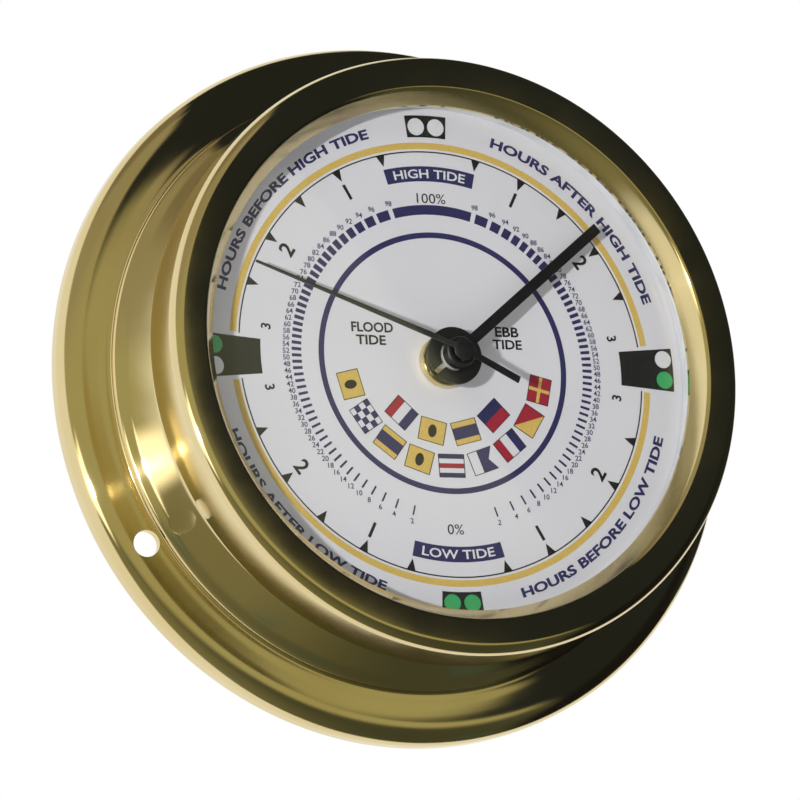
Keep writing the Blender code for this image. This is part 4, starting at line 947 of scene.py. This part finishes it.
def wrapped_mark(parts, radius, place, x):
    """Sign made of flat bars (along X, round the axis), laid on the back of the cell."""
    body = bmesh.new()
    for across, around in parts:
        bar = bmesh.new()
        bmesh.ops.create_grid(bar, x_segments=1, y_segments=12, size=0.5)
        for corner in thicken(bar, (0, 0, 0.04 * MM)).verts:
            angle = corner.co.y * around / radius
            reach = radius + 0.01 * MM + corner.co.z
            corner.co = Vector((x + corner.co.x * across, place.y + reach * math.cos(angle),
                                place.z + reach * math.sin(angle)))
        join(body, bar)
    return body


class TIDE_CLOCK_OT_cell(bpy.types.Operator):
    """Make the AA cell: a steel can in a printed sleeve"""
    bl_idname = "tide_clock.cell"
    bl_label = "Cell"

    def execute(self, context):
        low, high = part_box("battery_cell")
        radius = (high.z - low.z) / 2
        place = (low + high) / 2
        start = low.x
        shoulder = high.x - 1.3 * MM
        can = radius - 0.12 * MM
        section = in_mm(((0, 0.2), (3.4, 0.2), (3.8, 0)), 0.0, start)
        section += in_mm(((-0.7, 0), (0, 0.7)), can, start)
        section += in_mm(((0, -0.8), (-0.2, -0.3), (-0.8, 0)), can, shoulder)
        section += in_mm(((3.6, -0.1), (2.75, -0.1)), 0.0, shoulder)
        section += in_mm(((2.7, -0.3), (2.4, 0), (0, 0)), 0.0, high.x)
        can_body = lying(turned(section, 96), place)
        make_piece("cell_can", can_body, "steel", "case", ["battery_cell"])
        split = shoulder - 12 * MM
        bar, width = 3.0 * MM, 0.7 * MM
        for name, finish, body in (
                ("cell_sleeve", "wrapper", lying(sleeve(radius, start + 0.5 * MM, split), place)),
                ("cell_band", "band",
                 lying(sleeve(radius, split + 0.05 * MM, shoulder - 0.4 * MM), place)),
                ("cell_plus", "white",
                 wrapped_mark([(bar, width), (width, bar)], radius, place, shoulder - 4 * MM)),
                ("cell_minus", "white",
                 wrapped_mark([(width, bar)], radius, place, start + 4 * MM))):
            make_piece(name, body, finish, "case")
        return {"FINISHED"}


class TIDE_CLOCK_OT_arrows(bpy.types.Operator):
    """Mould two arrows on the back of the housing, round the setting knob"""
    bl_idname = "tide_clock.arrows"
    bl_label = "Arrows"

    def execute(self, context):
        back = back_of("movement_housing")
        low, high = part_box("setting_knob")
        radius = radius_of("setting_knob")
        middle = (low + high) / 2
        inner, outer = radius + 1.2 * MM, radius + 1.8 * MM
        proud = 0.12 * MM
        flare = 0.7 * MM
        marks = bmesh.new()
        for side in (0, 180):
            join(marks, sector(inner, outer, side + 20, side + 80, back, back - proud, 16))
            head = [on_dial(inner - flare, side + 80.5), on_dial(outer + flare, side + 80.5),
                    on_dial((inner + outer) / 2, side + 104)]
            join(marks, extruded(head, back, back - proud))
        make_piece("setting_arrows", shift(marks, middle.x, 0, middle.z), "white", "case",
                   sharp=20)
        return {"FINISHED"}


class TIDE_CLOCK_OT_movement(bpy.types.Operator):
    """Give the pieces of the movement their finishes"""
    bl_idname = "tide_clock.movement"
    bl_label = "Movement"

    def execute(self, context):
        paint = finishes()
        for finish, names in NODE_FINISHES.items():
            for name in names:
                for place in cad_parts[name].material_slots:
                    place.material = paint[finish]
        return {"FINISHED"}


def soft_edge(tree, value, low, high):
    """Soft step of a value from 0 at low to 1 at high."""
    return add_node(tree, "MapRange", {0: value, 1: low, 2: high}, interpolation_type="SMOOTHSTEP")


def overlaid(tree, tone, mask, colour):
    """Lay a colour over a tone by a mask."""
    return add_node(tree, "Mix", {0: mask, 6: tone, 7: (*colour, 1)}, data_type="RGBA").outputs[2]


KEY_DIRECTION = Vector((-0.697, -0.707, -0.118)).normalized()
# Painted reflection: colour of the dark side that only reflections show.
PAINTED_DARK_SIDE = (0.02, 0.024, 0.027)
# Height of the painted bright strip that only reflections show.
PAINTED_WINDOW_HEIGHT = -0.14
FLOOR_SIZE = 30.0
FLOOR_HEIGHT = -0.42
LENS = 205.587  # mm, for a sensor 36 mm wide
CAMERA_PLACE = (-0.321371, -0.713450, -0.191460)
CAMERA_ANGLES = (103.75407, 4.22410, -23.38883)
PAINTED_REFLECTION_BANDS = (  # lower edge, upper edge and colour of each painted reflection band, from the floor to the ceiling
    (-0.3, -0.08, (0.45, 0.43, 0.24)),
    (0.26, 0.5, (0.38, 0.35, 0.24)),
    (0.7, 0.9, (0.24, 0.21, 0.14)),
)


def room_tones(tree):
    """Painted reflection that polished brass and glass mirror, seen only by reflected and refracted
    rays: a white wall behind, dim olive surroundings in front of it that are dark on the right and
    below, a bright strip on the left, and soft edges between."""
    place = add_node(tree, "TexCoord").outputs["Generated"]
    wobble = add_node(tree, "TexNoise", {"Vector": place, "Scale": 5.0, "Detail": 2.0})
    shifted = add_node(tree, "VectorMath", {0: wobble.outputs["Color"], 1: (0.07, 0.07, 0.07),
                                            2: (-0.035, -0.035, -0.035)}, operation="MULTIPLY_ADD")
    heading = add_node(tree, "VectorMath", {0: place, 1: shifted}, operation="ADD")
    x, y, z = add_node(tree, "SeparateXYZ", {0: heading}).outputs
    # Painted reflection: olive, darker towards the right, with teal patches and bands from the floor to
    # the ceiling.
    tone = overlaid(tree, (0.24, 0.23, 0.13, 1), soft_edge(tree, x, -0.7, 0.35), (0.07, 0.075, 0.05))
    patches = add_node(tree, "TexNoise", {"Vector": place, "Scale": 2.4, "Detail": 1.0})
    tone = overlaid(tree, tone, soft_edge(tree, patches, 0.55, 0.8), (0.06, 0.13, 0.13))
    for low, high, colour in PAINTED_REFLECTION_BANDS:
        tone = overlaid(tree, tone, soft_edge(tree, z, low, high), colour)
    # Painted reflection: darker towards the right.
    right = add_node(tree, "Math", {0: z, 1: 0.62, 2: x}, operation="MULTIPLY_ADD")
    # Painted reflection: a bright strip on the left at that height.
    height = add_node(tree, "Math", {0: z, 1: -PAINTED_WINDOW_HEIGHT}, operation="ADD")
    off_window = add_node(tree, "Math", {0: height}, operation="ABSOLUTE")
    painted_window_strip = add_node(tree, "Math", {0: soft_edge(tree, x, -0.6, -0.8),
                                     1: soft_edge(tree, off_window, 0.18, 0.06)}, operation="MULTIPLY")
    # Painted highlight: a bright spot round the key lamp's direction, seen only in reflections.
    lamp = add_node(tree, "VectorMath", {0: place, 1: tuple(KEY_DIRECTION)},
                    operation="DOT_PRODUCT").outputs["Value"]
    # Painted reflection of a white wall behind the clock.
    behind = add_node(tree, "Math", {0: x, 1: -0.35, 2: y}, operation="MULTIPLY_ADD")
    sunk = add_node(tree, "Math", {0: z, 1: -0.3}, operation="MULTIPLY")
    behind = add_node(tree, "Math", {0: z, 1: sunk, 2: behind}, operation="MULTIPLY_ADD")
    for mask, colour in ((soft_edge(tree, right, 0.43, 0.49), PAINTED_DARK_SIDE),
                         (soft_edge(tree, x, 0.6, 0.75), (0.012, 0.012, 0.013)),
                         (painted_window_strip, (1.9, 1.8, 1.55)),
                         (soft_edge(tree, lamp, 0.975, 0.999), (2.4, 2.3, 2.1)),
                         (soft_edge(tree, behind, -0.14, 0.0), (1.0, 1.0, 1.0)),
                         (soft_edge(tree, right, 0.8, 0.9), PAINTED_DARK_SIDE)):
        tone = overlaid(tree, tone, mask, colour)
    return tone


class TIDE_CLOCK_OT_studio(bpy.types.Operator):
    """Make the floor, the painted reflection that the brass mirrors, the lamp and the camera"""
    bl_idname = "tide_clock.studio"
    bl_label = "Studio"

    def execute(self, context):
        scene = context.scene
        studio = scene.tide_clock_studio
        white = (1, 1, 1, 1)
        body = bmesh.new()
        bmesh.ops.create_grid(body, size=FLOOR_SIZE,
                              matrix=Matrix.Translation((0, 0, FLOOR_HEIGHT)))
        floor = add_object("floor", as_mesh("floor", body))
        floor.visible_glossy = False
        floor.visible_transmission = False
        pale, tree, shader = start_material("matt_white_floor", linear("F2F2F2"), 0.9)
        blend_colours(tree, shader, noise(tree, 0.5), linear("EFEFEF"), linear("F4F4F4"))
        seen = add_node(tree, "LightPath").outputs["Is Camera Ray"]
        strength = add_node(tree, "Math", {0: 0.42, 1: seen}, operation="MULTIPLY")
        lift = add_node(tree, "Emission", {"Color": white, "Strength": strength})
        both = add_node(tree, "AddShader", {0: shader, 1: lift})
        tree.links.new(both.outputs[0], tree.nodes["Material Output"].inputs["Surface"])
        floor.data.materials.append(pale)

        world = bpy.data.worlds.new("white_studio")
        scene.world = world
        world.use_nodes = True
        tree = world.node_tree
        tree.nodes.clear()
        path = add_node(tree, "LightPath").outputs
        mirrored = add_node(tree, "Math", {0: path["Is Glossy Ray"], 1: path["Is Transmission Ray"]},
                            operation="MAXIMUM")
        scattered = add_node(tree, "Math", {0: path["Diffuse Depth"], 1: 0.5}, operation="GREATER_THAN")
        mirrored = add_node(tree, "Math", {0: mirrored, 1: scattered}, operation="SUBTRACT")
        even = add_node(tree, "Background", {"Color": white, "Strength": studio.ambient})
        # Painted reflection: reflected and refracted rays see the painted tones, diffuse rays the even
        # light, camera rays the white backdrop.
        painted_reflection_world = add_node(tree, "Background", {"Color": room_tones(tree), "Strength": 1.0})
        backdrop = add_node(tree, "Background", {"Color": white, "Strength": 1.0})
        mixed = add_node(tree, "MixShader", {0: mirrored, 1: even, 2: painted_reflection_world})
        mixed = add_node(tree, "MixShader", {0: path["Is Camera Ray"], 1: mixed, 2: backdrop})
        add_node(tree, "OutputWorld", {"Surface": mixed})

        lamp = bpy.data.lights.new("key_lamp", "AREA")
        lamp.shape = "DISK"
        lamp.size = 0.05
        lamp.energy = studio.key
        key = add_object("key_lamp", lamp)
        key.location = KEY_DIRECTION
        key.rotation_euler = KEY_DIRECTION.to_track_quat("Z", "Y").to_euler()

        view = bpy.data.cameras.new("camera")
        view.lens = LENS
        view.sensor_width = 36.0
        camera = add_object("camera", view)
        camera.location = CAMERA_PLACE
        camera.rotation_euler = [math.radians(angle) for angle in CAMERA_ANGLES]
        scene.camera = camera
        scene.view_settings.view_transform = "Standard"
        return {"FINISHED"}


OPERATORS = (TIDE_CLOCK_OT_studio, TIDE_CLOCK_OT_case, TIDE_CLOCK_OT_bezel, TIDE_CLOCK_OT_glass,
             TIDE_CLOCK_OT_dial, TIDE_CLOCK_OT_centre, TIDE_CLOCK_OT_hands, TIDE_CLOCK_OT_cell,
             TIDE_CLOCK_OT_arrows, TIDE_CLOCK_OT_movement)
GROUPS = {"tide_clock_sizes": ClockSizes, "tide_clock_colours": ClockColours,
          "tide_clock_studio": ClockStudio}


class TIDE_CLOCK_PT_pieces(bpy.types.Panel):
    """Lists the clock's pieces, sizes and colours"""
    bl_idname = "TIDE_CLOCK_PT_pieces"
    bl_label = "Tide clock"
    bl_space_type = "VIEW_3D"
    bl_region_type = "UI"
    bl_category = "Tide clock"

    def draw(self, context):
        for operator in OPERATORS:
            self.layout.operator(operator.bl_idname)
        for group, kind in GROUPS.items():
            for setting in kind.__annotations__:
                self.layout.prop(getattr(context.scene, group), setting)


def register():
    for kind in (*GROUPS.values(), *OPERATORS, TIDE_CLOCK_PT_pieces):
        bpy.utils.register_class(kind)
    for group, kind in GROUPS.items():
        setattr(bpy.types.Scene, group, PointerProperty(type=kind))


def unregister():
    for group in GROUPS:
        delattr(bpy.types.Scene, group)
    for kind in (TIDE_CLOCK_PT_pieces, *OPERATORS, *GROUPS.values()):
        bpy.utils.unregister_class(kind)


def main():
    """Make every piece in order."""
    register()
    for operator in OPERATORS:
        getattr(bpy.ops.tide_clock, operator.bl_idname.split(".")[1])()


if __name__ == "__main__":
    main()
